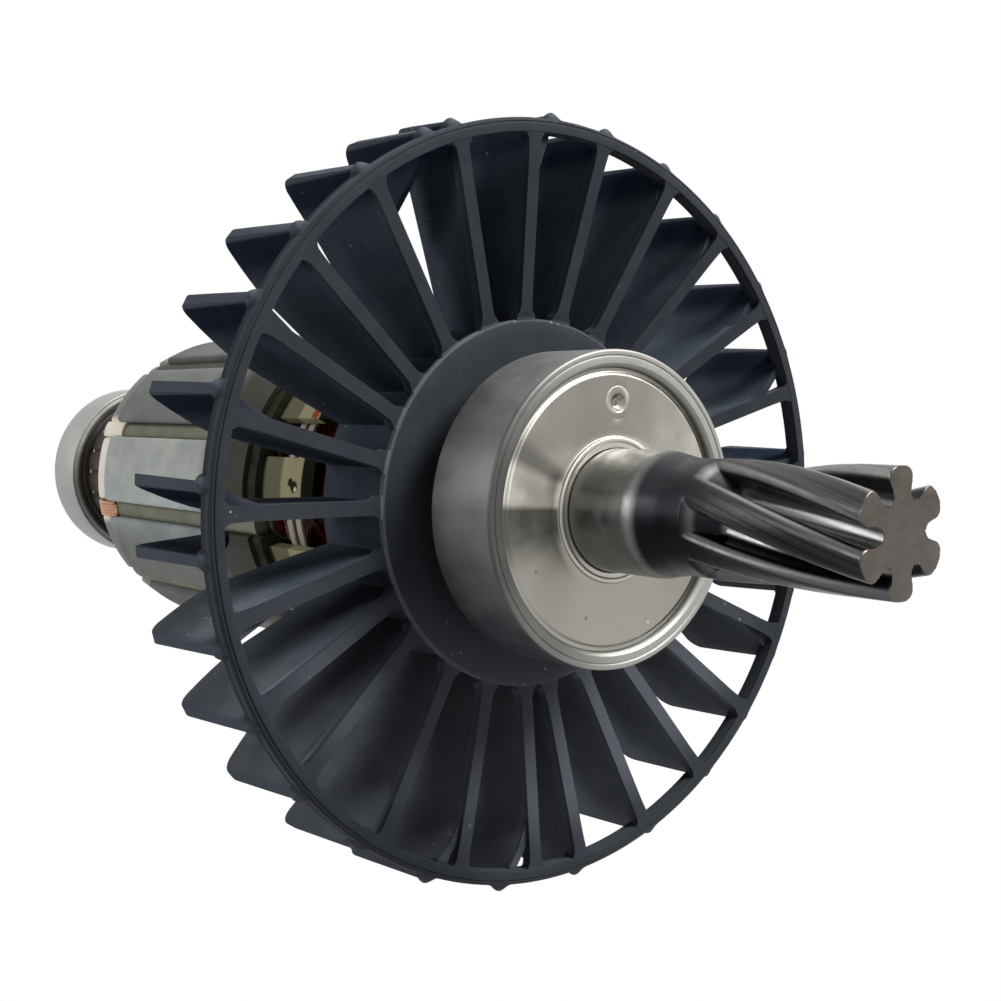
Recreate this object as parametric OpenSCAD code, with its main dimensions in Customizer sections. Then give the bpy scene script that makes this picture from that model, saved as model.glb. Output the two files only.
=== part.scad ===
// Armature of a universal motor with a helical pinion cut on its shaft.
// Lengths are in millimetres.
// The shaft lies along X and its pinion points to +X.
// X zero is the middle of the front bearing's outer seat.

/* [Shaft and pinion] */
// Radius of the shaft in the front bearing
shaft_front_r = 8.5; // [7:0.1:10]
// Radius of the shaft in the fan, core and sleeve
shaft_body_r = 9; // [8:0.1:11]
// Radius of the shoulder behind the fan
shoulder_r = 10.5; // [10:0.1:12]
// Radius of the shaft in the commutator
shaft_comm_r = 8; // [7:0.1:9]
// Radius of the shaft in the rear bearing
shaft_rear_r = 7.5; // [6:0.1:8]
// Radius of the bright journal in front of the bearing
journal_r = 7.7; // [7:0.1:8.4]
// Radius of the neck between journal and pinion
neck_r = 6.9; // [6:0.1:7.6]
// Front face of the fan's seat on the shaft
boss_front_x = -8; // [-10:0.1:-7]
// Front face of the shoulder behind the fan
shoulder_front_x = -25.6; // [-28:0.1:-24]
// Front end of the journal
journal_end_x = 15.6; // [12:0.1:20]
// Place where the rounded step meets the neck
neck_x = 20; // [17:0.1:24]
// Place where the tooth spaces start to rise out of the neck
runout_start_x = 24.4; // [22:0.1:28]
// Place where the tooth spaces reach their full depth
runout_end_x = 33; // [30:0.1:40]
// Free end of the pinion
pinion_end_x = 48.8; // [42:0.1:60]
// Number of pinion teeth
pinion_teeth = 6; // [5:1:12]
// Tip radius of the pinion
pinion_tip_r = 7; // [6:0.05:8]
// Root radius of the pinion
pinion_root_r = 3.7; // [3:0.05:5]
// Tooth thickness at the root
tooth_root_w = 3.1; // [2:0.05:4]
// Tooth thickness at the tip
tooth_tip_w = 2.7; // [1.4:0.05:3.4]
// Rounding of the tooth tips
tooth_round = 0.8; // [0.2:0.05:1.2]
// Turn of the teeth for each millimetre of length
helix_rate = 2.65; // [0:0.05:4]
// Angle of one tooth at the free end
tooth_phase = 34; // [0:1:60]
// Chamfer of the shaft ends
shaft_chamfer = 0.5; // [0.2:0.05:1]

/* [Front bearing] */
// Outer diameter of the front bearing
front_od = 40; // [35:1:47]
// Width of the front bearing
front_w = 12; // [10:0.5:14]
// Number of balls in the front bearing
front_ball_count = 8; // [7:1:9]
// Radius of a front ball
front_ball_r = 3.37; // [2.8:0.01:3.8]
// Inner radius of the front outer ring's lands
front_land_r = 16.9; // [16:0.1:17.4]
// Outer radius of the front inner ring
front_inner_r = 11.6; // [11:0.1:12.4]
// Radius of the seats that hold shield and seal
front_seat_r = 17.8; // [17.2:0.1:18.6]
// Front face of the front inner ring
front_inner_face_x = 3.7; // [3:0.1:6]

/* [Front shield] */
// Rear face of the shield
shield_back_x = 4.3; // [4.1:0.1:5]
// Front face of the shield
shield_face_x = 5.3; // [4.8:0.1:6]
// Radius of the shield's turned face
shield_face_r = 17.2; // [16:0.1:17.7]
// Front face of the shield's crimped edge
shield_edge_x = 4.8; // [4.5:0.1:5.3]
// Outer radius of the raised lip round the shaft
lip_outer_r = 9.15; // [8.8:0.05:10]
// Bore of the shield
shield_bore_r = 8; // [7.9:0.05:8.6]
// Front of the raised lip
lip_x = 6; // [5.4:0.1:7]
// Distance of the dimple from the axis
dimple_at_r = 13.4; // [11:0.1:15]
// Outer radius of the dimple's raised ring
dimple_ring_r = 2.1; // [1.2:0.1:2.6]
// Radius of the dimple
dimple_r = 1.2; // [0.5:0.1:2]
// Height of the dimple's raised ring
dimple_ring_h = 0.15; // [0.05:0.05:0.3]
// Depth of the dimple
dimple_depth = 0.5; // [0.2:0.05:0.8]

/* [Fan] */
// Outer radius of the fan's ring
fan_ring_r = 49.8; // [40:0.1:55]
// Radial width of the fan's ring
fan_ring_w = 1.9; // [1.2:0.1:4]
// Axial thickness of the fan's ring
fan_ring_t = 2.3; // [1.5:0.1:4]
// Front face of the fan's ring
fan_front_x = -6; // [-8:0.1:-5]
// Rear ends of the fan's blades
fan_rear_x = -24.6; // [-30:0.1:-18]
// Radius of the hub's rim
fan_hub_r = 24.4; // [20:0.1:30]
// Depth of the hub behind the ring
fan_dish = 4; // [1:0.1:8]
// Wall of the hub's tube
fan_tube_w = 1.6; // [1:0.1:3]
// Thickness of the hub's web
fan_web_t = 2.6; // [1.5:0.1:4]
// Outer radius of the fan's boss
fan_boss_r = 13; // [11:0.1:18]
// Thickness of a front spoke
spoke_w = 1.75; // [1:0.05:3]
// Depth of a front spoke
spoke_depth = 2.4; // [1:0.1:4]
// Thickness of a blade
blade_w = 1.25; // [0.8:0.05:2.5]
// How far the blades' rear ends stand out past the ring
blade_out = 1.2; // [0.6:0.1:3]
// How much less that radius is at the ring
blade_flare = 0.7; // [0:0.1:2]
// Radial length of the blades' bent outer part, within the ring
blade_tip_len = 8.8; // [4:0.1:14]
// Radial length of the short fins, within the ring
short_fin_len = 11.8; // [4:0.1:14]
// Rounding of the blades' rear corners
blade_round = 2.2; // [0.5:0.1:4]
// Radius of the bead where a blade meets the ring
bead_r = 1.25; // [0.8:0.05:2]
// Length of that bead
bead_len = 2.2; // [1:0.1:6]
// Depth of the lip at the hub's rim
hub_lip_t = 0.8; // [0.4:0.1:2]

/* [Core and insulation] */
// Outer radius of the lamination core
core_r = 24.3; // [20:0.1:30]
// Front face of the core
core_front_x = -46; // [-50:0.5:-40]
// Rear face of the core
core_rear_x = -94; // [-110:0.5:-80]
// Number of slots
slot_count = 11; // [8:1:14]
// Angle of the first slot
slot_phase = 160; // [0:1:360]
// Width of a slot's mouth
mouth_w = 2.6; // [1.6:0.1:4]
// Radius of a slot's wide end
slot_big_r = 3; // [2:0.1:4]
// Distance of the wide end from the axis
slot_big_at = 18.3; // [16:0.1:20]
// Radius of a slot's narrow end
slot_small_r = 1.6; // [1:0.1:2.4]
// Distance of the narrow end from the axis
slot_small_at = 14.2; // [12:0.1:16]
// Thickness of the slot liner
liner_t = 0.35; // [0.2:0.05:0.6]
// Length by which liners and wedges stand out of the core
liner_out = 1.6; // [0.5:0.1:3]
// Outer radius of the wedges
wedge_r = 23.7; // [22.5:0.1:24.2]
// Inner radius of the wedges
wedge_in_r = 21.5; // [21.3:0.1:23]
// Outer radius of the insulating sleeve
sleeve_r = 10.5; // [10:0.1:12]
// Front end of the insulating sleeve
sleeve_front_x = -30; // [-31:0.1:-28]
// Rear end of the insulating sleeve
sleeve_rear_x = -104.6; // [-105:0.1:-104]
// Outer radius of the end insulators
end_ins_r = 23.6; // [22:0.1:24.2]
// Thickness of the front end insulator's plate
front_ins_t = 2.4; // [1:0.1:4]
// Thickness of the rear end insulator
rear_ins_t = 3.8; // [1:0.1:5]
// Front ends of the front insulator's fingers
finger_end_x = -29.6; // [-36:0.1:-28]
// Outer radius of the fingers
finger_r = 22.6; // [21:0.1:23.4]
// Wall of the fingers
finger_w = 1.4; // [0.8:0.1:3]
// Width of a finger in degrees
finger_deg = 18; // [10:1:26]

/* [Winding and commutator] */
// Front end of the front winding head
head_front_x = -31.6; // [-36:0.1:-31]
// Rear end of the rear winding head
head_rear_x = -103.6; // [-108:0.1:-100]
// Outer radius of the winding heads
head_r = 19.8; // [18:0.1:20.6]
// Rounding of the winding heads
head_round = 3; // [1:0.1:4]
// Radius of the binding cord
cord_r = 0.6; // [0.4:0.05:0.7]
// Number of commutator bars
bar_count = 22; // [16:1:36]
// Brush track radius of the commutator
comm_r = 14; // [12:0.1:16]
// Inner radius of the bars
bar_in_r = 11.2; // [10:0.1:12.5]
// Gap between bars
bar_gap = 0.6; // [0.3:0.05:1]
// Outer radius of the bars' wire hooks
hook_r = 15.4; // [14.4:0.1:17]
// Length of the wire hooks
hook_len = 2.4; // [1.5:0.1:4]
// Front face of the bars
bar_front_x = -106.4; // [-110:0.1:-105]
// Rear face of the bars
bar_rear_x = -125.2; // [-128:0.1:-118]
// Front face of the commutator hub
comm_front_x = -105.4; // [-106:0.1:-105]
// Rear face of the commutator hub
comm_rear_x = -126; // [-128:0.1:-120]
// Radius of a lead wire
lead_r = 0.45; // [0.2:0.05:0.8]

/* [Rear bearing] */
// Outer diameter of the rear bearing
rear_od = 32; // [28:1:35]
// Width of the rear bearing
rear_w = 9; // [7:0.5:11]
// Middle of the rear bearing
rear_mid_x = -132.7; // [-140:0.1:-125]
// Number of balls in the rear bearing
rear_ball_count = 9; // [7:1:10]
// Radius of a rear ball
rear_ball_r = 2.38; // [2:0.01:2.8]
// Inner radius of the rear outer ring's lands
rear_land_r = 13.7; // [13.2:0.1:14]
// Outer radius of the rear inner ring
rear_inner_r = 9.8; // [9.4:0.1:10.2]
// Radius of the rear seal seats
rear_seat_r = 14.4; // [14:0.1:14.8]
// Thickness of the spacer in front of the rear bearing
rear_spacer_t = 1.8; // [1:0.1:2]
// Thickness of the seals
seal_t = 0.8; // [0.5:0.1:1.2]
// Gap between a seal and the ring that turns in it
seal_gap = 0.35; // [0.3:0.05:0.6]
// Distance of a seal behind the face of its ring
seal_inset = 0.4; // [0.1:0.1:1]

/* [Fits] */
// Gap between balls and races
ball_gap = 0.05; // [0.02:0.01:0.1]
// Gap between balls and cage
cage_gap = 0.25; // [0.1:0.01:0.4]
// Thickness of a cage behind its balls
cage_back_t = 0.35; // [0.3:0.01:0.5]
// Chamfer of the bearing rings
ring_chamfer = 0.5; // [0.2:0.05:1]
// Facets of full circles
facets = 96; // [48:4:144]

/* [Hidden] */

$fn = facets;
// Angles of the front spokes, spaced unevenly so that the fan runs quietly
spoke_angles = [6, 20.5, 36.3, 51.8, 66.3, 82.1, 96.2, 110.5, 127.1, 142.3, 154.4, 167.9, 181.2,
    196.1, 208.6, 221, 238.3, 253.8, 268.7, 278.2, 292.5, 307.1, 321.4, 336.5, 351];
// Angles of the blades' outer edges, one for each spoke
blade_angles = [8.9, 27, 39.6, 54.3, 67.9, 80.9, 91.8, 110.5, 127.5, 140.4, 152, 164.8, 177.4,
    199.3, 210.7, 223, 235.8, 249, 263, 277.9, 294, 308.9, 321.2, 333.2, 344.9];
// Angles of the short fins, which hang from the ring alone
short_fin_angles = [115.5, 187.2];
// Angles of the beads on the ring's edge
bead_angles = concat(blade_angles, short_fin_angles, [357]);
// The blade that leans, and by how much
leaning_spoke = 110.5;
lean = -13;
slot_pitch = 360 / slot_count;
dimple_angle = 89.4;
front_half = front_w / 2;
rear_half = rear_w / 2;
front_r = front_od / 2;
rear_r = rear_od / 2;
front_pitch_r = (front_r + shaft_front_r) / 2;
rear_pitch_r = (rear_r + shaft_rear_r) / 2;
shaft_rear_x = rear_mid_x - rear_half - 0.8 * shaft_chamfer;
rear_step_x = rear_mid_x + rear_half + rear_spacer_t;
ins_front_x = core_front_x + front_ins_t;
ins_rear_x = core_rear_x - rear_ins_t;
hub_front_x = fan_front_x - fan_dish;
spoke_len = sqrt(pow(fan_ring_r - fan_hub_r, 2) + pow(fan_dish, 2));
spoke_tilt = atan2(fan_dish, fan_ring_r - fan_hub_r);
cut = 0.5 * ring_chamfer;
blade_r = fan_ring_r + blade_out;
blade_bend_r = fan_ring_r - blade_tip_len;
short_fin_r = fan_ring_r - short_fin_len;

steel = [0.56, 0.57, 0.58];
plastic = [0.14, 0.15, 0.18];
cream = [0.85, 0.83, 0.72];
copper = [0.72, 0.4, 0.25];
enamel = [0.42, 0.12, 0.1];
laminate = [0.62, 0.63, 0.63];
phenolic = [0.3, 0.18, 0.1];

// Turns a shape that is built upwards so that it lies along the shaft
module along_x() {
    rotate([90, 0, 90]) children();
}

// A ring or disc along the shaft between two places
module band(x0, x1, r_out, r_in) {
    along_x() translate([0, 0, x0]) difference() {
        cylinder(h = x1 - x0, r = r_out);
        if (r_in > 0) translate([0, 0, -cut]) cylinder(h = x1 - x0 + 2 * cut, r = r_in);
    }
}

// A profile of radius and place, turned round the shaft
module turned(points) {
    along_x() rotate_extrude() polygon(points);
}

// One pinion tooth seen from its end, pointing along the first axis
module tooth_outline() {
    root_half = tooth_root_w / 2;
    tip_half = tooth_tip_w / 2;
    side_r = pinion_tip_r - tooth_round;
    polygon([[0, -root_half], [pinion_root_r, -root_half], [side_r, -tip_half],
        [pinion_tip_r - 0.32 * tooth_round, -tip_half + 0.28 * tooth_round],
        [pinion_tip_r, -tip_half + 0.95 * tooth_round], [pinion_tip_r, tip_half - 0.95 * tooth_round],
        [pinion_tip_r - 0.32 * tooth_round, tip_half - 0.28 * tooth_round],
        [side_r, tip_half], [pinion_root_r, root_half], [0, root_half]]);
}

// The helical teeth, right-handed, from the neck to the free end
module pinion_teeth_solid() {
    teeth_len = pinion_end_x - runout_start_x;
    start_angle = tooth_phase - helix_rate * teeth_len;
    along_x() translate([0, 0, runout_start_x]) rotate([0, 0, start_angle])
        linear_extrude(height = teeth_len, twist = -helix_rate * teeth_len, slices = 20) {
            circle(r = pinion_root_r, $fn = 48);
            for (k = [0 : pinion_teeth - 1]) rotate(k * 360 / pinion_teeth) tooth_outline();
        }
}

module shaft() {
    step_len = neck_x - journal_end_x;
    step_h = journal_r - neck_r;
    run_len = runout_end_x - runout_start_x;
    run_h = neck_r - pinion_root_r;
    color(steel) union() {
        turned([[0, shaft_rear_x], [shaft_rear_r - shaft_chamfer, shaft_rear_x],
            [shaft_rear_r, shaft_rear_x + shaft_chamfer], [shaft_rear_r, rear_step_x],
            [shaft_comm_r, rear_step_x], [shaft_comm_r, sleeve_rear_x], [shaft_body_r, sleeve_rear_x],
            [shaft_body_r, sleeve_front_x], [shoulder_r, sleeve_front_x],
            [shoulder_r, shoulder_front_x], [shaft_body_r, shoulder_front_x],
            [shaft_body_r, boss_front_x], [shaft_front_r, boss_front_x],
            [shaft_front_r, front_inner_face_x], [journal_r, front_inner_face_x],
            [journal_r, journal_end_x], [journal_r - 0.12 * step_h, journal_end_x + 0.12 * step_len],
            [journal_r - 0.4 * step_h, journal_end_x + 0.3 * step_len],
            [journal_r - 0.75 * step_h, journal_end_x + 0.6 * step_len], [neck_r, neck_x],
            [neck_r, runout_start_x], [neck_r - 0.1 * run_h, runout_start_x + 0.16 * run_len],
            [neck_r - 0.35 * run_h, runout_start_x + 0.38 * run_len],
            [neck_r - 0.68 * run_h, runout_start_x + 0.64 * run_len],
            [neck_r - 0.9 * run_h, runout_start_x + 0.84 * run_len],
            [pinion_root_r - cut, runout_end_x + cut], [0, runout_end_x + cut]]);
        pinion_teeth_solid();
    }
}

// Outer ring of a ball bearing round the place x_mid
module outer_ring(x_mid, half, r_out, land_r, seat_r, seat_depth, pitch_r, ball_r) {
    turned_ring = [[land_r, x_mid - half + seat_depth], [seat_r, x_mid - half + seat_depth],
        [seat_r, x_mid - half], [r_out - ring_chamfer, x_mid - half],
        [r_out, x_mid - half + ring_chamfer], [r_out, x_mid + half - ring_chamfer],
        [r_out - ring_chamfer, x_mid + half], [seat_r, x_mid + half],
        [seat_r, x_mid + half - seat_depth], [land_r, x_mid + half - seat_depth]];
    along_x() rotate_extrude() difference() {
        polygon(turned_ring);
        translate([pitch_r, x_mid]) circle(r = ball_r + ball_gap, $fn = 48);
    }
}

// Inner ring of a ball bearing between two places
module inner_ring(x_mid, x0, x1, r_in, r_out, pitch_r, ball_r) {
    along_x() rotate_extrude() difference() {
        polygon([[r_in, x0], [r_out - cut, x0], [r_out, x0 + cut], [r_out, x1 - cut],
            [r_out - cut, x1], [r_in, x1]]);
        translate([pitch_r, x_mid]) circle(r = ball_r + ball_gap, $fn = 48);
    }
}

// Balls of a bearing
module ball_set(x_mid, count, pitch_r, ball_r) {
    for (k = [0 : count - 1]) rotate([k * 360 / count, 0, 0]) translate([x_mid, pitch_r, 0])
        sphere(r = ball_r, $fn = 24);
}

// Crown cage that holds the balls apart
module crown_cage(x_mid, count, pitch_r, ball_r, dir) {
    cage_half_w = 0.3 * ball_r;
    back = ball_r + cage_gap + cage_back_t;
    lip = 0.34 * ball_r;
    lo = dir > 0 ? x_mid - back : x_mid - lip;
    hi = dir > 0 ? x_mid + lip : x_mid + back;
    difference() {
        band(lo, hi, pitch_r + cage_half_w, pitch_r - cage_half_w);
        for (k = [0 : count - 1]) rotate([k * 360 / count, 0, 0])
            translate([x_mid, pitch_r - 2 * cage_half_w, 0]) rotate([-90, 0, 0])
                cylinder(h = 4 * cage_half_w, r = ball_r + cage_gap, $fn = 32);
    }
}

module front_bearing_outer_ring() {
    color(steel) outer_ring(0, front_half, front_r, front_land_r, front_seat_r,
        front_half - shield_back_x, front_pitch_r, front_ball_r);
}

module front_bearing_inner_ring() {
    color(steel) inner_ring(0, -front_half, front_inner_face_x, shaft_front_r, front_inner_r,
        front_pitch_r, front_ball_r);
}

module front_bearing_balls() {
    color(steel) ball_set(0, front_ball_count, front_pitch_r, front_ball_r);
}

module front_bearing_cage() {
    color(phenolic) crown_cage(0, front_ball_count, front_pitch_r, front_ball_r, 1);
}

module front_bearing_shield() {
    lip_mid = (lip_outer_r + shield_bore_r) / 2;
    lip_half = (lip_outer_r - shield_bore_r) / 2;
    face_step = 0.3 * (shield_face_x - shield_edge_x);
    color(laminate) difference() {
        union() {
            turned([[shield_bore_r, shield_back_x], [front_seat_r, shield_back_x],
                [front_seat_r, shield_edge_x], [shield_face_r, shield_edge_x],
                [shield_face_r - face_step, shield_face_x],
                [lip_outer_r + lip_half, shield_face_x], [lip_outer_r, shield_face_x + face_step],
                [lip_outer_r, lip_x - lip_half], [lip_mid + 0.6 * lip_half, lip_x - 0.2 * lip_half],
                [lip_mid, lip_x], [lip_mid - 0.6 * lip_half, lip_x - 0.2 * lip_half],
                [shield_bore_r, lip_x - lip_half]]);
            rotate([dimple_angle, 0, 0]) translate([0, dimple_at_r, 0])
                band(shield_edge_x, shield_face_x + dimple_ring_h, dimple_ring_r, 0);
        }
        rotate([dimple_angle, 0, 0]) translate([0, dimple_at_r, 0])
            band(shield_face_x + dimple_ring_h - dimple_depth, lip_x + cut, dimple_r, 0);
    }
}

module front_bearing_seal() {
    color(phenolic) band(-shield_back_x - seal_t, -shield_back_x, front_seat_r,
        front_inner_r + seal_gap);
}

module front_spacer() {
    color(steel) band(boss_front_x, -front_half, front_inner_r - cut, shaft_front_r);
}

// Side outline of a blade with a rounded outer rear corner, from an inner to the outer radius
module blade_side(from_r, front_x) {
    corner_r = blade_r - blade_round;
    ring_back_x = fan_front_x - fan_ring_t;
    ring_mid_x = fan_front_x - 0.5 * fan_ring_t;
    polygon([[fan_rear_x, from_r], [fan_rear_x, corner_r],
        [fan_rear_x + 0.3 * blade_round, blade_r - 0.3 * blade_round],
        [fan_rear_x + blade_round, blade_r], [ring_back_x, blade_r - blade_flare],
        [ring_mid_x, fan_ring_r - 0.5 * fan_ring_w], [front_x, from_r]]);
}

// Blade seen along the shaft: straight up to the bend, then leaning to its outer edge
module blade_section(root_r, bend) {
    half = 0.5 * blade_w;
    tip = blade_r + cut;
    polygon([[root_r, -half], [blade_bend_r, -half], [tip * cos(bend), tip * sin(bend) - half],
        [tip * cos(bend), tip * sin(bend) + half], [blade_bend_r, half], [root_r, half]]);
}

// Blade that starts from the hub and carries the spoke on its front edge
module blade(bend) {
    root_r = fan_hub_r - 0.94 * fan_tube_w;
    intersection() {
        along_x() translate([0, 0, fan_rear_x - cut])
            linear_extrude(height = fan_front_x - fan_rear_x + cut) blade_section(root_r, bend);
        translate([0, 0, -blade_r / 4]) linear_extrude(height = blade_r / 2)
            blade_side(root_r, hub_front_x - 0.5 * fan_web_t);
    }
}

// The same blade turned a little round its spoke, so that its rear end leans sideways
module leaning_blade() {
    root_r = fan_hub_r - 0.5 * fan_tube_w;
    translate([hub_front_x, root_r, 0]) rotate([0, 0, -spoke_tilt]) rotate([0, lean, 0])
        rotate([0, 0, spoke_tilt]) translate([-hub_front_x, -root_r, 0]) blade(0);
}

// Short fin that hangs from the ring
module short_fin() {
    front_in_r = fan_ring_r - 0.8 * fan_ring_w;
    translate([0, 0, -blade_w / 2]) linear_extrude(height = blade_w) intersection() {
        blade_side(short_fin_r, fan_front_x - 0.8 * fan_ring_t);
        polygon([[fan_front_x - 0.3 * fan_ring_t, front_in_r], [fan_front_x - 0.3 * fan_ring_t, 2 * blade_r],
            [fan_rear_x - cut, 2 * blade_r], [fan_rear_x - cut, short_fin_r]]);
    }
}

// Rounded bead where a blade meets the ring
module bead() {
    low = -0.5 * fan_ring_w;
    rotate([90, 0, 90]) linear_extrude(height = bead_len)
        polygon([[low, -bead_r], [0.35 * bead_r, -bead_r], [0.8 * bead_r, -0.7 * bead_r],
            [bead_r, -0.25 * bead_r], [bead_r, 0.25 * bead_r], [0.8 * bead_r, 0.7 * bead_r],
            [0.35 * bead_r, bead_r], [low, bead_r]]);
}

module cooling_fan() {
    ring_back_x = fan_front_x - fan_ring_t;
    ring_in_r = fan_ring_r - fan_ring_w;
    web_back_x = hub_front_x - fan_web_t;
    bead_x = fan_front_x - 0.3 * fan_ring_t;
    tube_in_r = fan_hub_r - fan_tube_w;
    tube_rear_x = fan_rear_x - 0.5 * hub_lip_t;
    color(plastic) union() {
        turned([[ring_in_r, fan_front_x], [fan_ring_r - cut, fan_front_x],
            [fan_ring_r, fan_front_x - cut], [fan_ring_r, ring_back_x], [ring_in_r, ring_back_x]]);
        turned([[shaft_body_r, boss_front_x], [fan_boss_r, boss_front_x],
            [fan_boss_r + cut, hub_front_x + cut], [fan_hub_r - fan_tube_w, hub_front_x + cut],
            [fan_hub_r, hub_front_x], [fan_hub_r, hub_front_x - hub_lip_t],
            [fan_hub_r - 0.4 * fan_tube_w, hub_front_x - 1.4 * hub_lip_t],
            [fan_hub_r - 0.4 * fan_tube_w, tube_rear_x], [tube_in_r, tube_rear_x],
            [tube_in_r, web_back_x], [fan_boss_r, web_back_x], [fan_boss_r, shoulder_front_x],
            [shaft_body_r, shoulder_front_x]]);
        for (a = spoke_angles) rotate([a, 0, 0]) translate([hub_front_x, fan_hub_r - 0.5 * fan_tube_w, 0])
            rotate([0, 0, -spoke_tilt]) translate([-spoke_depth, 0, -spoke_w / 2])
                cube([spoke_depth, spoke_len - fan_ring_w / 2, spoke_w]);
        for (k = [0 : len(spoke_angles) - 1]) rotate([spoke_angles[k], 0, 0])
            if (spoke_angles[k] == leaning_spoke) leaning_blade();
            else blade(blade_angles[k] - spoke_angles[k]);
        for (a = short_fin_angles) rotate([a, 0, 0]) short_fin();
        for (a = bead_angles) rotate([a, 0, 0]) translate([bead_x - bead_len, fan_ring_r, 0]) bead();
    }
}

module shaft_sleeve() {
    color(phenolic) band(sleeve_rear_x, sleeve_front_x, sleeve_r, shaft_body_r);
}

// Outline of a slot's body, drawn inwards by the given inset
module slot_body(inset) {
    big = slot_big_r - inset;
    small = slot_small_r - inset;
    translate([slot_big_at, 0]) circle(r = big, $fn = 32);
    translate([slot_small_at, 0]) circle(r = small, $fn = 24);
    polygon([[slot_small_at, -small], [slot_big_at, -big], [slot_big_at, big], [slot_small_at, small]]);
}

// Outline of the core with its open slots
module core_outline(r_out, widen) {
    difference() {
        circle(r = r_out);
        circle(r = sleeve_r);
        for (k = [0 : slot_count - 1]) rotate(slot_phase + k * slot_pitch) {
            slot_body(-widen);
            translate([slot_big_at, -mouth_w / 2 - widen])
                square([core_r, mouth_w + 2 * widen]);
        }
    }
}

module lamination_core() {
    color(laminate) along_x() translate([0, 0, core_rear_x])
        linear_extrude(height = core_front_x - core_rear_x) core_outline(core_r, 0);
}

module slot_liners() {
    color(cream) along_x() translate([0, 0, ins_rear_x])
        linear_extrude(height = ins_front_x - ins_rear_x)
            for (k = [0 : slot_count - 1]) rotate(slot_phase + k * slot_pitch) difference() {
                slot_body(0);
                slot_body(liner_t);
            }
}

module slot_wedges() {
    wedge_len = core_front_x - core_rear_x + 2 * liner_out;
    color(cream) for (k = [0 : slot_count - 1])
        rotate([slot_phase + k * slot_pitch, 0, 0])
            translate([core_rear_x - liner_out, wedge_in_r, -mouth_w / 2])
                cube([wedge_len, wedge_r - wedge_in_r, mouth_w]);
}

module front_end_insulator() {
    finger_from = core_front_x + 0.5 * front_ins_t;
    notch_w = 0.16 * finger_r;
    color(cream) {
        along_x() translate([0, 0, core_front_x])
            linear_extrude(height = front_ins_t) core_outline(end_ins_r, 0);
        for (k = [0 : slot_count - 1])
            rotate([slot_phase + (k + 0.5) * slot_pitch - finger_deg / 2, 0, 0]) difference() {
                along_x() translate([0, 0, finger_from]) rotate_extrude(angle = finger_deg)
                    translate([finger_r - finger_w, 0]) square([finger_w, finger_end_x - finger_from]);
                rotate([finger_deg / 2, 0, 0])
                    translate([finger_end_x - finger_w, finger_r - 2 * finger_w, -notch_w / 2])
                        cube([2 * finger_w, 3 * finger_w, notch_w]);
            }
    }
}

module rear_end_insulator() {
    color(cream) along_x() translate([0, 0, ins_rear_x])
        linear_extrude(height = rear_ins_t) core_outline(end_ins_r, 0);
}

// Half section of a winding head between a plate and its rounded free end
module head_section(x_plate, x_end) {
    dir = x_end > x_plate ? 1 : -1;
    polygon([[sleeve_r, x_plate], [head_r, x_plate], [head_r, x_end - dir * head_round],
        [head_r - 0.3 * head_round, x_end - dir * 0.3 * head_round],
        [head_r - head_round, x_end], [sleeve_r + head_round, x_end],
        [sleeve_r + 0.3 * head_round, x_end - dir * 0.3 * head_round],
        [sleeve_r, x_end - dir * head_round]]);
}

module armature_winding() {
    color(enamel) union() {
        along_x() rotate_extrude() head_section(ins_front_x, head_front_x);
        along_x() rotate_extrude() head_section(ins_rear_x, head_rear_x);
        along_x() translate([0, 0, ins_rear_x])
            linear_extrude(height = ins_front_x - ins_rear_x)
                for (k = [0 : slot_count - 1]) rotate(slot_phase + k * slot_pitch) slot_body(liner_t);
    }
}

module binding_cords() {
    cord_at = head_front_x - 2 * head_round;
    color(cream) for (x = [cord_at, cord_at - 4 * cord_r])
        along_x() translate([0, 0, x]) rotate_extrude() translate([head_r + cord_r, 0])
            circle(r = cord_r, $fn = 16);
}

module commutator_leads() {
    lead_at = hook_r - 2 * lead_r;
    color(enamel) for (k = [0 : bar_count - 1]) rotate([(k + 0.5) * 360 / bar_count, 0, 0])
        translate([bar_front_x, lead_at, 0]) rotate([0, 90, 0])
            cylinder(h = head_rear_x - bar_front_x, r = lead_r, $fn = 16);
}

module commutator_bars() {
    bar_len = bar_front_x - bar_rear_x;
    color(copper) difference() {
        turned([[bar_in_r, bar_rear_x], [comm_r - cut, bar_rear_x], [comm_r, bar_rear_x + cut],
            [comm_r, bar_front_x - hook_len], [hook_r, bar_front_x - hook_len],
            [hook_r, bar_front_x], [bar_in_r, bar_front_x]]);
        for (k = [0 : bar_count - 1]) rotate([k * 360 / bar_count, 0, 0])
            translate([bar_rear_x - cut, bar_in_r - cut, -bar_gap / 2])
                cube([bar_len + 2 * cut, hook_r, bar_gap]);
    }
}

module commutator_rings() {
    ring_t = bar_rear_x - comm_rear_x;
    color(laminate) {
        band(comm_rear_x, bar_rear_x, comm_r - 2 * cut, bar_in_r);
        band(bar_front_x, bar_front_x + ring_t, comm_r - 2 * cut, bar_in_r);
    }
}

module commutator_hub() {
    color(phenolic) band(comm_rear_x, comm_front_x, bar_in_r, shaft_comm_r);
}

module rear_spacer() {
    color(steel) band(rear_mid_x + rear_half, rear_step_x, rear_inner_r - cut, shaft_rear_r);
}

module rear_bearing_outer_ring() {
    color(steel) outer_ring(rear_mid_x, rear_half, rear_r, rear_land_r, rear_seat_r,
        seal_inset + seal_t, rear_pitch_r, rear_ball_r);
}

module rear_bearing_inner_ring() {
    color(steel) inner_ring(rear_mid_x, rear_mid_x - rear_half, rear_mid_x + rear_half,
        shaft_rear_r, rear_inner_r, rear_pitch_r, rear_ball_r);
}

module rear_bearing_balls() {
    color(steel) ball_set(rear_mid_x, rear_ball_count, rear_pitch_r, rear_ball_r);
}

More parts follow.
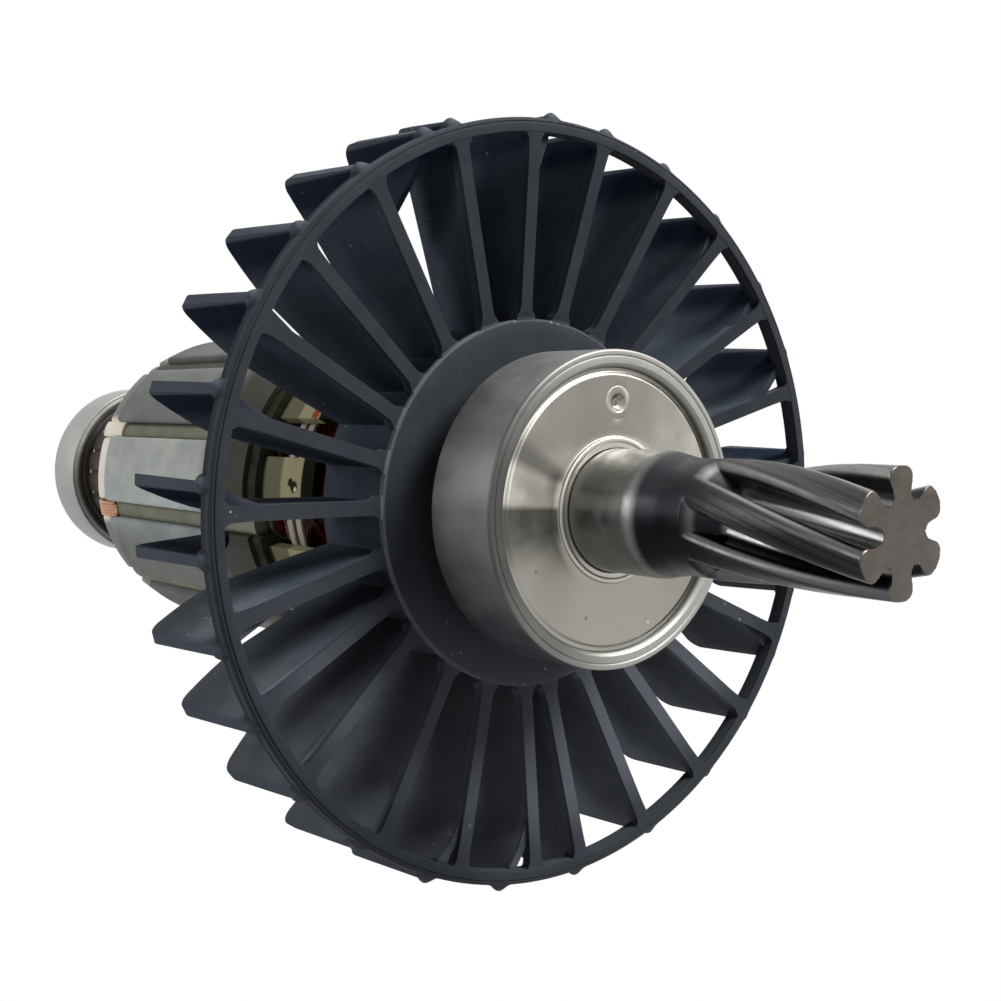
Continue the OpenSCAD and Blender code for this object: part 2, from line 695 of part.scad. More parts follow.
module rear_bearing_cage() {
    color(phenolic) crown_cage(rear_mid_x, rear_ball_count, rear_pitch_r, rear_ball_r, 1);
}

module rear_bearing_seals() {
    near = rear_mid_x + rear_half - seal_inset;
    far = rear_mid_x - rear_half + seal_inset;
    color(phenolic) {
        band(near - seal_t, near, rear_seat_r, rear_inner_r + seal_gap);
        band(far, far + seal_t, rear_seat_r, rear_inner_r + seal_gap);
    }
}

shaft();
front_bearing_outer_ring();
front_bearing_inner_ring();
front_bearing_balls();
front_bearing_cage();
front_bearing_shield();
front_bearing_seal();
front_spacer();
cooling_fan();
shaft_sleeve();
lamination_core();
slot_liners();
slot_wedges();
front_end_insulator();
rear_end_insulator();
armature_winding();
binding_cords();
commutator_leads();
commutator_bars();
commutator_rings();
commutator_hub();
rear_spacer();
rear_bearing_outer_ring();
rear_bearing_inner_ring();
rear_bearing_balls();
rear_bearing_cage();
rear_bearing_seals();
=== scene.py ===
import math
from functools import cached_property

import bmesh
import bpy
from mathutils import Matrix, Vector


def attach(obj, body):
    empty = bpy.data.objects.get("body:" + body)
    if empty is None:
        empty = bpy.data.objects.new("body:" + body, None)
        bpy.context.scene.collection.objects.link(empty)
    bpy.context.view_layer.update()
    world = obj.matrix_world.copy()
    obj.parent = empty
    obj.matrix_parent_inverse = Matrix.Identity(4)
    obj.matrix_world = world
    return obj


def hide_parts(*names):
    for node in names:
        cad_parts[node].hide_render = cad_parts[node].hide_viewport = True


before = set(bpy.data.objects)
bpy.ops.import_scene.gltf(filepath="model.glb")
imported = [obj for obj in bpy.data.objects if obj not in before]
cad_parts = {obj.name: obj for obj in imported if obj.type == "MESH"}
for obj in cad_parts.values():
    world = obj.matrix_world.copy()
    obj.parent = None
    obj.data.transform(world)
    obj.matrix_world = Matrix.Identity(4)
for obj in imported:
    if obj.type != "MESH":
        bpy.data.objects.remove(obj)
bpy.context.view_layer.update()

# Lengths below are in millimetres until a mesh is made, angles in degrees
MM = 0.001
TURN = 2 * math.pi

# Shaft, from its rear end to its front end
SHAFT_REAR_X = -137.6
SHAFT_REAR_R = 7.5
REAR_STEP_X = -126.4
SHAFT_COMM_R = 8.0
SLEEVE_REAR_X = -104.6
SHAFT_BODY_R = 9.0
SHOULDER_REAR_X = -30.0
SHOULDER_R = 10.5
SHOULDER_FRONT_X = -25.6
BOSS_FRONT_X = -8.0
SHAFT_FRONT_R = 8.5
JOURNAL_REAR_X = 3.7
JOURNAL_R = 7.7
JOURNAL_END_X = 15.3
NECK_R = 6.9
NECK_X = 19.6

# Pinion
PINION_START_X = 21.0
PINION_END_X = 48.8
PINION_TEETH = 6
PINION_TIP_R = 7.0
TIP_RISE_LEN = 4.0
TOOTH_CORNER = 1.1
# Two neighbouring tooth spaces are cut deeper, as in the photograph
SPACE_ROOTS = (3.8, 3.2, 2.7, 3.8, 3.8, 3.8)
SPACE_HALF_W = 1.12
RUNOUT_START_X = 23.6
RUNOUT_END_X = 28.6
RUNOUT_R = 2.7
RUNOUT_SOFT = 0.3
HELIX_RATE = 2.65
TOOTH_PHASE = 34.0
PINION_SLICES = 150

# Front bearing
FRONT_R = 20.0
FRONT_HALF = 6.0
FRONT_SEAT_R = 17.8
FRONT_LAND_R = 16.9
FRONT_STEP = 1.7
SHIELD_FACE_R = 17.2
SHIELD_BACK_X = 4.3
SHIELD_FACE_X = 5.3
SHIELD_EDGE_X = 5.02
LIP_OUT_R = 9.15
LIP_IN_R = 7.75
LIP_X = 5.7
DIMPLE_AT_R = 13.4
DIMPLE_ANGLE = 89.4
FRONT_SEAL_R = 11.95
FRONT_SEAL_X = (-5.1, -4.3)

# Fan
FAN_R = 49.8
FAN_RING_W = 1.9
FAN_RING_T = 2.3
FAN_RING_IN_R = FAN_R - FAN_RING_W
FAN_FRONT_X = -6.0
FAN_REAR_X = -24.6
FAN_DISH = 4.0
FAN_HUB_X = FAN_FRONT_X - FAN_DISH
FAN_HUB_R = 24.4
FAN_BOSS_R = 13.0
BLADE_W = 1.3
BLADE_R = 51.0
BLADE_ROOT_R = FAN_HUB_R - 1.5
BLADE_FLARE = 0.6
BLADE_BEND_R = 41.0
BLADE_CORNER = 2.0
SPOKE_W = 1.8
SPOKE_DEPTH = 1.5
SPOKE_ANGLES = (6, 20.5, 36.3, 51.8, 66.3, 82.1, 96.2, 110.5, 127.1, 142.3, 154.4, 167.9, 181.2,
                196.1, 208.6, 221, 238.3, 253.8, 268.7, 278.2, 292.5, 307.1, 321.4, 336.5, 351)
BLADE_ANGLES = (8.9, 27, 39.6, 54.3, 67.9, 80.9, 91.8, 110.5, 127.5, 140.4, 152, 164.8, 177.4,
                199.3, 210.7, 223, 235.8, 249, 263, 277.9, 294, 308.9, 321.2, 333.2, 344.9)
SHORT_FINS = (115.5, 187.2)
SHORT_FIN_R = 38.0
LONE_BEAD = 357.0
LEANING_SPOKE = 110.5
LEAN = -13.0

# Core and its insulation
CORE_R = 24.3
CORE_FRONT_X = -46.0
CORE_REAR_X = -94.0
TOOTH_EDGE = 0.7
SLOT_COUNT = 11
SLOT_PHASE = 160.0
SLOT_PITCH = 360.0 / SLOT_COUNT
SLOT_ANGLES = [SLOT_PHASE + k * SLOT_PITCH for k in range(SLOT_COUNT)]
MOUTH_W = 2.6
SLOT_BIG_R = 3.0
SLOT_BIG_AT = 18.3
SLOT_SMALL_R = 1.6
SLOT_SMALL_AT = 14.2
WEDGE_R = 23.7
WEDGE_IN_R = 21.5
WEDGE_OUT = 1.6
END_INS_R = 23.6
FRONT_PLATE_X = CORE_FRONT_X + 2.4
REAR_PLATE_X = CORE_REAR_X - 4.1
FINGER_END_X = -29.6
FINGER_R = 22.6
FINGER_W = 1.4
FINGER_DEG = 18.0
TAB_HALF_W = 1.28
# The slot whose wires are seen bare at the rear, in place of a tab of the insulator
COPPER_SLOT = 1

# Winding, leads and binding cords
HEAD_FRONT_X = -31.6
HEAD_REAR_X = -103.6
HEAD_IN_R = 10.55
HEAD_OUT_R = 16.6
COIL_SPAN = 5
COIL_LAYERS = 4
COIL_R = 18.9
WIRE_R = 0.36
LEAD_R = 0.42
BARE_WIRE_R = 0.3
BARE_WIRE_AT = 23.95
CORD_PLACES = (-37.6, -40.0)
CORD_AT_R = 20.15
CORD_R = 0.33
CORD_TURNS = 3

# Commutator
BAR_COUNT = 22
BAR_PITCH = 360 / BAR_COUNT
COMM_R = 14.0
BAR_IN_R = 11.2
BAR_FRONT_X = -106.4
BAR_REAR_X = -125.2
BAR_GAP = 0.6
HOOK_HALF_W = 0.85
BANDING_T = 0.8
MOULDING_X = (-126.0, -105.4)

# Rear bearing
REAR_R = 16.0
REAR_MID_X = -132.7
REAR_HALF = 4.5
REAR_SEAT_R = 14.4
REAR_LAND_R = 13.7
REAR_STEP = 1.2
REAR_INNER_R = 9.8
SEAL_T = 0.8


# Mesh helpers

def on_axis(x, r, deg):
    """A point at place x along the shaft, radius r and angle deg."""
    a = math.radians(deg)
    return Vector((x, r * math.cos(a), r * math.sin(a)))


def turned_about_x(deg):
    return Matrix.Rotation(math.radians(deg), 4, "X")


def arc(r, start, end, steps):
    """Points of an arc round the origin, from one angle to another."""
    turns = [math.radians(start + (end - start) * i / steps) for i in range(steps + 1)]
    return [(r * math.cos(a), r * math.sin(a)) for a in turns]


def make_object(name, bm, mat, smooth_deg=35):
    """An object in metres, shaded smooth but for edges sharper than smooth_deg."""
    bmesh.ops.recalc_face_normals(bm, faces=bm.faces)
    mesh = bpy.data.meshes.new(name)
    bm.to_mesh(mesh)
    bm.free()
    mesh.transform(Matrix.Scale(MM, 4))
    for poly in mesh.polygons:
        poly.use_smooth = True
    mesh.set_sharp_from_angle(angle=math.radians(smooth_deg))
    mesh.materials.append(mat)
    obj = bpy.data.objects.new(name, mesh)
    bpy.context.scene.collection.objects.link(obj)
    return obj


def piece(name, bm, mat, body, slot, *nodes, smooth_deg=35):
    """A piece that rides on a body and takes the place of CAD nodes. The slot is not used."""
    obj = make_object(name, bm, mat, smooth_deg)
    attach(obj, body)
    if nodes:
        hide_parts(*nodes)
    return obj


def turned_piece(name, profile, steps, *rest):
    """A piece that is one profile turned round the shaft."""
    bm = bmesh.new()
    lathe_into(bm, profile, steps)
    return piece(name, bm, *rest)


def rounded(points, radius, steps=3, closed=True):
    """A 2D outline with each corner rounded by its own third number, or else by the radius."""
    out = []
    count = len(points)
    for i, p in enumerate(points):
        if not closed and i in (0, count - 1):
            out.append(tuple(p))
            continue
        here = Vector(p[:2])
        before = Vector(points[i - 1][:2]) - here
        after = Vector(points[(i + 1) % count][:2]) - here
        r = p[2] if len(p) > 2 else radius
        reach = min(r, before.length * 0.45, after.length * 0.45)
        if reach < 0.005:
            out.append((here.x, here.y))
            continue
        a = here + before.normalized() * reach
        b = here + after.normalized() * reach
        for k in range(steps + 1):
            t = k / steps
            q = a * (1 - t) ** 2 + here * 2 * t * (1 - t) + b * t ** 2
            out.append((q.x, q.y))
    return out


def rows_into(bm, rows):
    """Quads between neighbouring rows of vertices, each row a closed loop."""
    for low, high in zip(rows, rows[1:]):
        for k in range(len(low)):
            m = (k + 1) % len(low)
            bm.faces.new((low[k], low[m], high[m], high[k]))


def lathe_into(bm, profile, steps=160, closed=True):
    """Turns a profile of (radius, x) round the shaft into bm."""
    rings = []
    for k in range(steps):
        c, s = math.cos(TURN * k / steps), math.sin(TURN * k / steps)
        rings.append([bm.verts.new((x, r * c, r * s)) for r, x in profile])
    n = len(profile)
    for k in range(steps):
        this, that = rings[k], rings[(k + 1) % steps]
        for i in range(n if closed else n - 1):
            j = (i + 1) % n
            if profile[i][0] > 1e-6 or profile[j][0] > 1e-6:
                bm.faces.new((this[i], this[j], that[j], that[i]))
    if not closed:
        for end in (0, n - 1):
            if profile[end][0] < 1e-6:
                bmesh.ops.remove_doubles(bm, verts=[ring[end] for ring in rings], dist=1e-5)


def bevel_and_place(bm, verts, edges, bevel, segments, place):
    """Rounds some edges of the part of bm that verts make up, and moves that part to its place."""
    made = set(verts)
    if bevel > 0:
        res = bmesh.ops.bevel(bm, geom=edges, offset=bevel, segments=segments, profile=0.5,
                              affect="EDGES", clamp_overlap=True)
        made = {v for v in made | set(res["verts"]) if v.is_valid}
        for face in res["faces"]:
            made |= set(face.verts)
    if place is not None:
        bmesh.ops.transform(bm, matrix=place, verts=list(made))


def prism_into(bm, outline, x0, x1, bevel=0.0, segments=2, place=None):
    """Extrudes a (y, z) outline from x0 to x1, with its end edges bevelled."""
    rows = [[bm.verts.new((x, y, z)) for y, z in outline] for x in (x0, x1)]
    caps = [bm.faces.new(rows[0][::-1]), bm.faces.new(rows[1])]
    rows_into(bm, rows)
    edges = [e for cap in caps for e in cap.edges]
    bevel_and_place(bm, rows[0] + rows[1], edges, bevel, segments, place)


def tube_into(bm, points, radius, sides):
    """A round tube along a list of points."""
    normal = None
    rings = []
    for i, p in enumerate(points):
        ahead = (points[min(i + 1, len(points) - 1)] - points[max(i - 1, 0)]).normalized()
        if normal is None:
            ref = Vector((1, 0, 0)) if abs(ahead.x) < 0.8 else Vector((0, 0, 1))
            normal = ahead.cross(ref).normalized()
        normal = (normal - ahead * normal.dot(ahead)).normalized()
        side = ahead.cross(normal)
        rings.append([bm.verts.new(p + (normal * math.cos(TURN * k / sides)
                                        + side * math.sin(TURN * k / sides)) * radius)
                      for k in range(sides)])
    rows_into(bm, rings)
    bm.faces.new(rings[0][::-1])
    bm.faces.new(rings[-1])


# Materials

class Shader:
    """Adds nodes to one tree. Each call returns an output socket."""

    def __init__(self, tree):
        self.tree = tree

    def feed(self, socket, value):
        """Links an output to a socket, or sets the socket to a constant."""
        if isinstance(value, bpy.types.NodeSocket):
            self.tree.links.new(value, socket)
        elif socket.type == "RGBA":
            socket.default_value = (*value, 1.0)
        else:
            socket.default_value = value

    def add(self, kind, inputs, output, **settings):
        node = self.tree.nodes.new("ShaderNode" + kind)
        for key, value in settings.items():
            setattr(node, key, value)
        for key, value in inputs.items():
            self.feed(node.inputs[key], value)
        return node.outputs[output]

    @cached_property
    def place(self):
        """Object coordinates in millimetres."""
        coord = self.add("TexCoord", {}, "Object")
        return self.add("VectorMath", {0: coord, "Scale": 1 / MM}, "Vector", operation="SCALE")

    @cached_property
    def xyz(self):
        return self.add("SeparateXYZ", {"Vector": self.place}, "X").node.outputs

    @cached_property
    def radius(self):
        """Distance from the shaft's axis."""
        squares = [self.times(self.xyz[key], self.xyz[key]) for key in "YZ"]
        return self.maths("SQRT", self.maths("ADD", *squares))

    @cached_property
    def angle(self):
        """Angle round the shaft, from 0 to 360."""
        turn = self.maths("ARCTAN2", self.xyz["Z"], self.xyz["Y"])
        return self.maths("FLOORED_MODULO", self.times(turn, 180 / math.pi), 360.0)

    def maths(self, operation, a, b=0.0):
        return self.add("Math", {0: a, 1: b}, "Value", operation=operation)

    def times(self, first, *others):
        for other in others:
            first = self.maths("MULTIPLY", first, other)
        return first

    def span(self, value, low, high, start=0.0, end=1.0):
        """Runs evenly from low to high while the value goes from start to end."""
        inputs = {"Value": value, "From Min": start, "From Max": end, "To Min": low, "To Max": high}
        return self.add("MapRange", inputs, "Result")

    def step(self, value, start, end):
        """Rises smoothly from zero to one while the value goes from start to end."""
        inputs = {"Value": value, "From Min": start, "From Max": end}
        return self.add("MapRange", inputs, "Result", interpolation_type="SMOOTHSTEP")

    def mix(self, share, a, b, blend="MIX"):
        return self.add("Mix", {0: share, 6: a, 7: b}, 2, data_type="RGBA", blend_type=blend)

    def ramp(self, value, stops):
        """Colour from a table of (value, colour)."""
        out = self.add("ValToRGB", {"Fac": value}, "Color")
        elements = out.node.color_ramp.elements
        while len(elements) < len(stops):
            elements.new(0.5)
        for element, (position, colour) in zip(elements, stops):
            element.position = position
            element.color = (*colour, 1.0)
        return out

    def mottle(self, tone, low, high):
        """Two colours in the patches of a noise."""
        return self.ramp(tone, ((0.3, low), (0.7, high)))

    def noise(self, size, detail=3.0, stretch=(1, 1, 1)):
        """Noise whose features are about size millimetres."""
        scale = [s / size for s in stretch]
        scaled = self.add("Mapping", {"Vector": self.place, "Scale": scale}, "Vector")
        inputs = {"Vector": scaled, "Scale": 1.0, "Detail": detail, "Roughness": 0.55}
        return self.add("TexNoise", inputs, "Fac")

    def lines(self, value, pitch):
        """Fine lines: noise that changes along one value alone, in steps of about pitch."""
        inputs = {"W": value, "Scale": 1.0 / pitch, "Detail": 3.0}
        return self.add("TexNoise", inputs, "Fac", noise_dimensions="1D")

    def streaks(self, table):
        """Tone that changes round the shaft, from a table of (degrees, tone or colour)."""
        stops = [(deg / 360.0, tone if isinstance(tone, tuple) else (tone,) * 3) for deg, tone in table]
        return self.ramp(self.maths("DIVIDE", self.angle, 360.0), stops)

    def specks(self, size, reach):
        """A few small dots."""
        away = self.add("TexVoronoi", {"Vector": self.place, "Scale": 1 / size}, "Distance")
        rare = self.noise(size * 6, detail=2.0)
        return self.times(self.span(away, 1.0, 0.0, 0.02, reach), self.span(rare, 0.0, 1.0, 0.56, 0.68))

    def marked(self, colour, marks):
        """The colour with small ragged marks, each a (centre, size, tint)."""
        for centre, size, tint in marks:
            away = self.add("VectorMath", {0: self.place, 1: centre}, "Value", operation="DISTANCE")
            ragged = self.maths("ADD", away, self.times(self.noise(0.7), size))
            colour = self.mix(self.step(ragged, size * 1.5, size * 1.1), colour, tint)
        return colour

    def patchy(self, rough, size, detail):
        """Roughness that varies in patches."""
        return self.span(self.noise(size, detail=detail), *rough, 0.3, 0.7)

    def seen_or_mirrored(self):
        """One for camera, glossy and transmission rays, zero for the rest."""
        path = self.add("LightPath", {}, "Is Camera Ray").node.outputs
        either = self.maths("MAXIMUM", path["Is Camera Ray"], path["Is Glossy Ray"])
        return self.maths("MAXIMUM", either, path["Is Transmission Ray"])

    def dress(self, colour, rough, height, depth, others):
        """Feeds the surface's colour, roughness, bump of a depth in millimetres and other inputs."""
        bump = self.add("Bump", {"Strength": 1.0, "Distance": depth * MM, "Height": height}, "Normal")
        inputs = {"Base Color": colour, "Roughness": rough, "Normal": bump, **others}
        for key, value in inputs.items():
            self.feed(self.tree.nodes["Principled BSDF"].inputs[key], value)


def new_material(name):
    mat = bpy.data.materials.new(name)
    mat.use_nodes = True
    return mat, Shader(mat.node_tree)


def metal(name, low, high, rough=(0.3, 0.45), round_face=False, line_depth=0.01, metallic=1.0,
          painted_light=None, face=None, lip=None, marks=()):
    """Machined metal: mottled tone and fine tool lines, along the shaft or round a face.

    The painted light is a tone that changes round the shaft, standing in for how light falls. The face is
    (from x, to x, colour, painted light)
    and the lip (radius, colour): the part in front of, or within it, has its own colour."""
    mat, sh = new_material(name)
    size = 6.0
    colour = sh.mottle(sh.noise(size), low, high)
    # Painted light: a tone round the shaft from a table, left off within the lip
    if painted_light:
        share = sh.step(sh.radius, lip[0] - 0.2, lip[0] + 0.2) if lip else 1.0
        colour = sh.mix(share, colour, sh.streaks(painted_light), blend="MULTIPLY")
    if lip:
        colour = sh.mix(sh.step(sh.radius, lip[0], lip[0] - 0.3), colour, lip[1])
    colour = sh.marked(colour, marks)
    # The face takes its own colour, multiplied by its own painted light
    if face:
        start, end, face_colour, face_painted_light = face
        front = sh.mix(1.0, face_colour, sh.streaks(face_painted_light), blend="MULTIPLY")
        colour = sh.mix(sh.step(sh.xyz["X"], start, end), colour, front)
    fine = sh.lines(sh.radius if round_face else sh.xyz["X"], 0.22)
    colour = sh.mix(sh.span(fine, 0.0, 0.22), colour, [c * 0.55 for c in low])
    others = {"Metallic": metallic}
    if round_face:
        others["Anisotropic"] = 0.6
        others["Tangent"] = sh.add("Tangent", {}, "Tangent", direction_type="RADIAL", axis="X")
    sh.dress(colour, sh.patchy(rough, size * 0.5, 5.0), fine, line_depth, others)
    return mat


def moulded(name, low, high, rough=(0.4, 0.55), size=4.0, grain=0.35, depth=0.01, coat=0.0, gloss=0.3,
            painted_light=None, bands=(), marks=()):
    """Plastic or varnished fibre: mottled tone, fine grain, painted light round the shaft, and bands of
    (from x, to x, colour).
    """
    mat, sh = new_material(name)
    colour = sh.mottle(sh.noise(size, detail=4.0), low, high)
    # Painted light: a tone round the shaft from a table
    if painted_light:
        colour = sh.mix(1.0, colour, sh.streaks(painted_light), blend="MULTIPLY")
    for start, end, band_colour in bands:
        colour = sh.mix(sh.step(sh.xyz["X"], start, end), colour, band_colour)
    colour = sh.marked(colour, marks)
    others = {"Coat Weight": coat, "Specular IOR Level": gloss}
    sh.dress(colour, sh.patchy(rough, size * 1.7, 4.0), sh.noise(grain, detail=2.0), depth, others)
    return mat


def fan_plastic():
    """Navy plastic with painted light and shade: lighter near the hub, darker out among the blades, lighter
    lower blades, a greyer front, paler ring side and blade ends, a painted highlight on the hub's edge;
    light specks and a few scuffs.
    """
    mat, sh = new_material("fan_plastic")
    radius, along, up = sh.radius, sh.xyz["X"], sh.xyz["Z"]
    tone = sh.noise(4.0, detail=4.0)
    # Painted light and shade: the same plastic lighter near the hub and darker among the outer blades
    inner = sh.mottle(tone, (0.046, 0.056, 0.072), (0.064, 0.075, 0.094))
    outer = sh.mottle(tone, (0.013, 0.0175, 0.029), (0.02, 0.026, 0.04))
    colour = sh.mix(sh.step(radius, 44.0, 47.5), inner, outer)

    # Painted light: the lower blades lighter, standing in for their upper faces lit from above
    lower = sh.step(up, -8.0, -26.0)
    lower_edge = sh.times(sh.step(up, -2.0, -14.0), sh.step(radius, 36.0, 44.0))
    lit_lower_blades = sh.mottle(tone, (0.1, 0.108, 0.122), (0.128, 0.137, 0.152))
    colour = sh.mix(sh.times(sh.maths("MAXIMUM", lower, lower_edge), 0.8), colour, lit_lower_blades)

    # The front has its own greyer tone, and is a dished face that rises from the hub to the ring
    front_tone = sh.mottle(tone, (0.025, 0.0288, 0.035), (0.0325, 0.0365, 0.043))
    # Painted light: the lower front inside the ring lighter, where the bearing's shadow falls
    front_tone = sh.mix(sh.times(lower, sh.step(radius, 47.0, 38.0)), front_tone, (0.072, 0.079, 0.091))
    out = sh.maths("MINIMUM", sh.maths("MAXIMUM", radius, FAN_HUB_R), FAN_RING_IN_R)
    rise = sh.times(sh.maths("SUBTRACT", out, FAN_HUB_R), FAN_DISH / (FAN_RING_IN_R - FAN_HUB_R))
    front = sh.step(sh.maths("SUBTRACT", sh.maths("ADD", rise, FAN_HUB_X), along), 1.3, 0.5)
    colour = sh.mix(front, colour, front_tone)

    # Painted light: paler side of the ring and ends of the blades; a painted highlight on the edge of the
    # hub, strongest on the -Y side
    ring = sh.times(sh.step(radius, 47.4, 47.8), sh.step(along, -8.8, -8.3), sh.step(along, -6.2, -6.5))
    colour = sh.mix(ring, colour, (0.046, 0.051, 0.06))
    colour = sh.mix(sh.step(radius, 50.0, 50.5), colour, (0.085, 0.095, 0.115))
    rim = sh.times(sh.step(radius, 23.9, 24.2), sh.step(radius, 24.75, 24.5),
                   sh.step(along, -11.2, -10.6), sh.span(sh.xyz["Y"], 0.75, 0.3, -14.0, -4.0))
    colour = sh.mix(rim, colour, (0.13, 0.14, 0.155))
    colour = sh.mix(sh.specks(2.2, 0.12), colour, (0.4, 0.42, 0.45))
    colour = sh.marked(colour, [(centre, size, (0.3, 0.32, 0.35)) for centre, size in FAN_SCUFFS])
    others = {"Specular IOR Level": sh.times(front, 0.05)}
    sh.dress(colour, sh.patchy((0.45, 0.62), 6.8, 4.0), sh.noise(0.5, detail=2.0), 0.012, others)
    return mat


def rear_fibre():
    """Cream fibre whose outer edge is painted grey but for the part above the bare wire."""
    mat, sh = new_material("rear_fibre")
    colour = sh.mottle(sh.noise(4.0, detail=4.0), (0.8, 0.71, 0.59), (0.92, 0.85, 0.74))
    bare = sh.streaks(((0, 0.0), (154, 0.0), (156, 1.0), (197, 1.0), (199, 0.0), (359, 0.0)))
    painted = sh.times(sh.maths("SUBTRACT", 1.0, bare), sh.step(sh.radius, 22.3, 22.8))
    colour = sh.mix(painted, colour, (0.13, 0.135, 0.125))
    sh.dress(colour, 0.5, sh.noise(0.6, detail=2.0), 0.02, {})
    return mat


def tooth_tone(sh, upper):
    """Dark steel with painted light and shade: shade in the tooth spaces and below, highlight streaks on
    the crests that are lighter on top, and painted highlights on the space floors and crest edges.
    """
    radius, along = sh.radius, sh.xyz["X"]
    # Painted shade: the dark steel, darker below, also fills the tooth spaces as shade
    dark = sh.mottle(sh.noise(3.0, detail=4.0), (0.026, 0.027, 0.034), (0.038, 0.039, 0.046))
    shade_below = sh.mix(0.7, dark, (0.0, 0.0, 0.0))
    dark = sh.mix(upper, shade_below, sh.mix(0.012, dark, (1.0, 1.0, 1.0)))
    # Painted highlight: a bright line on the floor of the spaces
    floor = sh.times(sh.step(radius, 4.5, 3.9), sh.step(along, 27.0, 29.0))
    dark = sh.mix(sh.times(floor, 0.8), dark, (0.26, 0.26, 0.255))

    # Painted highlights: streaks along the helix on the crests, lit on top and shaded below
    twist = sh.maths("SUBTRACT", sh.angle, sh.times(along, HELIX_RATE))
    streak = sh.lines(twist, 7.0)
    shaded_crest = sh.ramp(streak, ((0.35, (0.011, 0.011, 0.013)), (0.55, (0.024, 0.024, 0.026)),
                                 (0.7, (0.036, 0.036, 0.037))))
    lit_crest = sh.ramp(streak, ((0.35, (0.055, 0.055, 0.053)), (0.55, (0.09, 0.09, 0.086)),
                             (0.7, (0.145, 0.144, 0.137))))
    toothed = sh.times(sh.step(radius, 4.6, 6.3), sh.step(along, 24.0, 30.0))
    colour = sh.mix(toothed, dark, sh.mix(upper, shaded_crest, lit_crest))
    # Painted highlight on the crest edges, brighter on top
    edge = sh.times(sh.step(radius, 5.8, 6.35), sh.step(radius, 6.97, 6.72), sh.step(along, 23.5, 25.5))
    edge_highlight = sh.mix(upper, (0.11, 0.11, 0.11), (0.36, 0.36, 0.35))
    return sh.mix(sh.times(edge, 0.85), colour, edge_highlight)


def pinion_metal():
    """Bright turned journal, dark teeth with painted light and shade, and a brownish end face painted
    lighter below.
    """
    mat, sh = new_material("pinion_steel")
    along = sh.xyz["X"]
    # Share towards the top, for the painted light
    upper = sh.step(sh.xyz["Z"], -1.5, 6.3)
    turned = sh.mottle(sh.noise(5.0), (0.17, 0.17, 0.167), (0.23, 0.229, 0.222))
    tool_lines = sh.lines(along, 0.16)
    turned = sh.mix(sh.span(tool_lines, 0.0, 0.25, 0.35, 0.65), turned, (0.1, 0.1, 0.1))
    colour = sh.mix(sh.step(along, 17.2, 15.6), tooth_tone(sh, upper), turned)
    sawn = sh.noise(1.6, detail=4.0, stretch=(1, 1, 2.5))
    end = sh.mottle(sawn, (0.088, 0.075, 0.066), (0.118, 0.101, 0.089))
    # Painted light: the end face lighter below
    end = sh.mix(upper, sh.mix(0.2, end, (0.16, 0.145, 0.135)), end)
    colour = sh.mix(sh.step(along, PINION_END_X - 0.3, PINION_END_X - 0.05), colour, end)
    height = sh.maths("ADD", sh.times(tool_lines, 0.5), sh.noise(0.5))
    sh.dress(colour, sh.patchy((0.27, 0.42), 2.0, 5.0), height, 0.008, {"Metallic": 1.0})
    return mat


# Painted light and shade round the shaft, in (degrees, tone), with 90 degrees on top
# Painted light on the outer side of the bearing rings: lighter on top, darker and bluish below, a painted
# reflection of the navy fan
SIDE_PAINTED_LIGHT = ((0, 0.9), (90, 1.4), (130, 1.2), (165, 0.97), (190, 0.85), (215, (0.52, 0.55, 0.62)),
              (245, (0.42, 0.45, 0.54)), (285, (0.45, 0.48, 0.56)), (330, 0.7), (359, 0.9))
# Painted light on the front face of the outer ring: darker round the left side
RIM_PAINTED_LIGHT = ((0, 0.95), (60, 0.95), (110, 0.8), (140, 0.42), (165, 0.22), (205, 0.22), (230, 0.7),
             (270, 1.0), (359, 0.95))
# Painted reflection on the shield's brushed face: the bright and dark sectors of its highlight, sharpest at
# the left
SHIELD_PAINTED_REFLECTION = ((0, 0.9), (40, 0.86), (75, 0.84), (110, 0.81), (135, 0.98), (148, 0.95), (153, 0.55),
                (158, 0.5), (163, 1.35), (177, 1.38), (180, 0.26), (194, 0.3), (207, 0.95), (250, 1.12),
                (285, 1.1), (320, 1.0), (359, 0.9))
# Painted light and shade on the core: much lighter on its left side, shaded on top and below
CORE_PAINTED_LIGHT = ((0, 0.8), (80, 0.6), (110, 0.42), (127, 0.5), (132, 0.85), (156, 0.9), (163, 2.1),
              (176, 2.3), (190, (2.35, 2.45, 2.6)), (196, (1.6, 1.68, 1.8)), (206, 1.0), (224, 0.72),
              (230, 0.6), (300, 0.8), (359, 0.8))
# Painted shadow in the slot mouths: the wedge at 127 degrees all dark, dark strips along edges of others,
# slightly lighter strips beside them
WEDGE_PAINTED_SHADOW = ((0, 1.0), (123, 1.0), (124.5, 0.2), (130, 0.25), (131.5, 1.0), (156.4, 1.0), (157.0, 0.1),
               (158.2, 0.14), (158.9, 1.1), (162.8, 1.1), (163.2, 0.5), (164, 1.0), (189.6, 1.0),
               (190.2, 0.3), (190.7, 1.1), (195.0, 1.1), (195.6, 0.35), (196.2, 1.0), (359, 1.0))

# Small marks and scuffs, in (centre, size, tint), or (centre, size) on the fan
DARK_PIT = (0.24, 0.23, 0.2)
BURNT = (0.03, 0.02, 0.012)
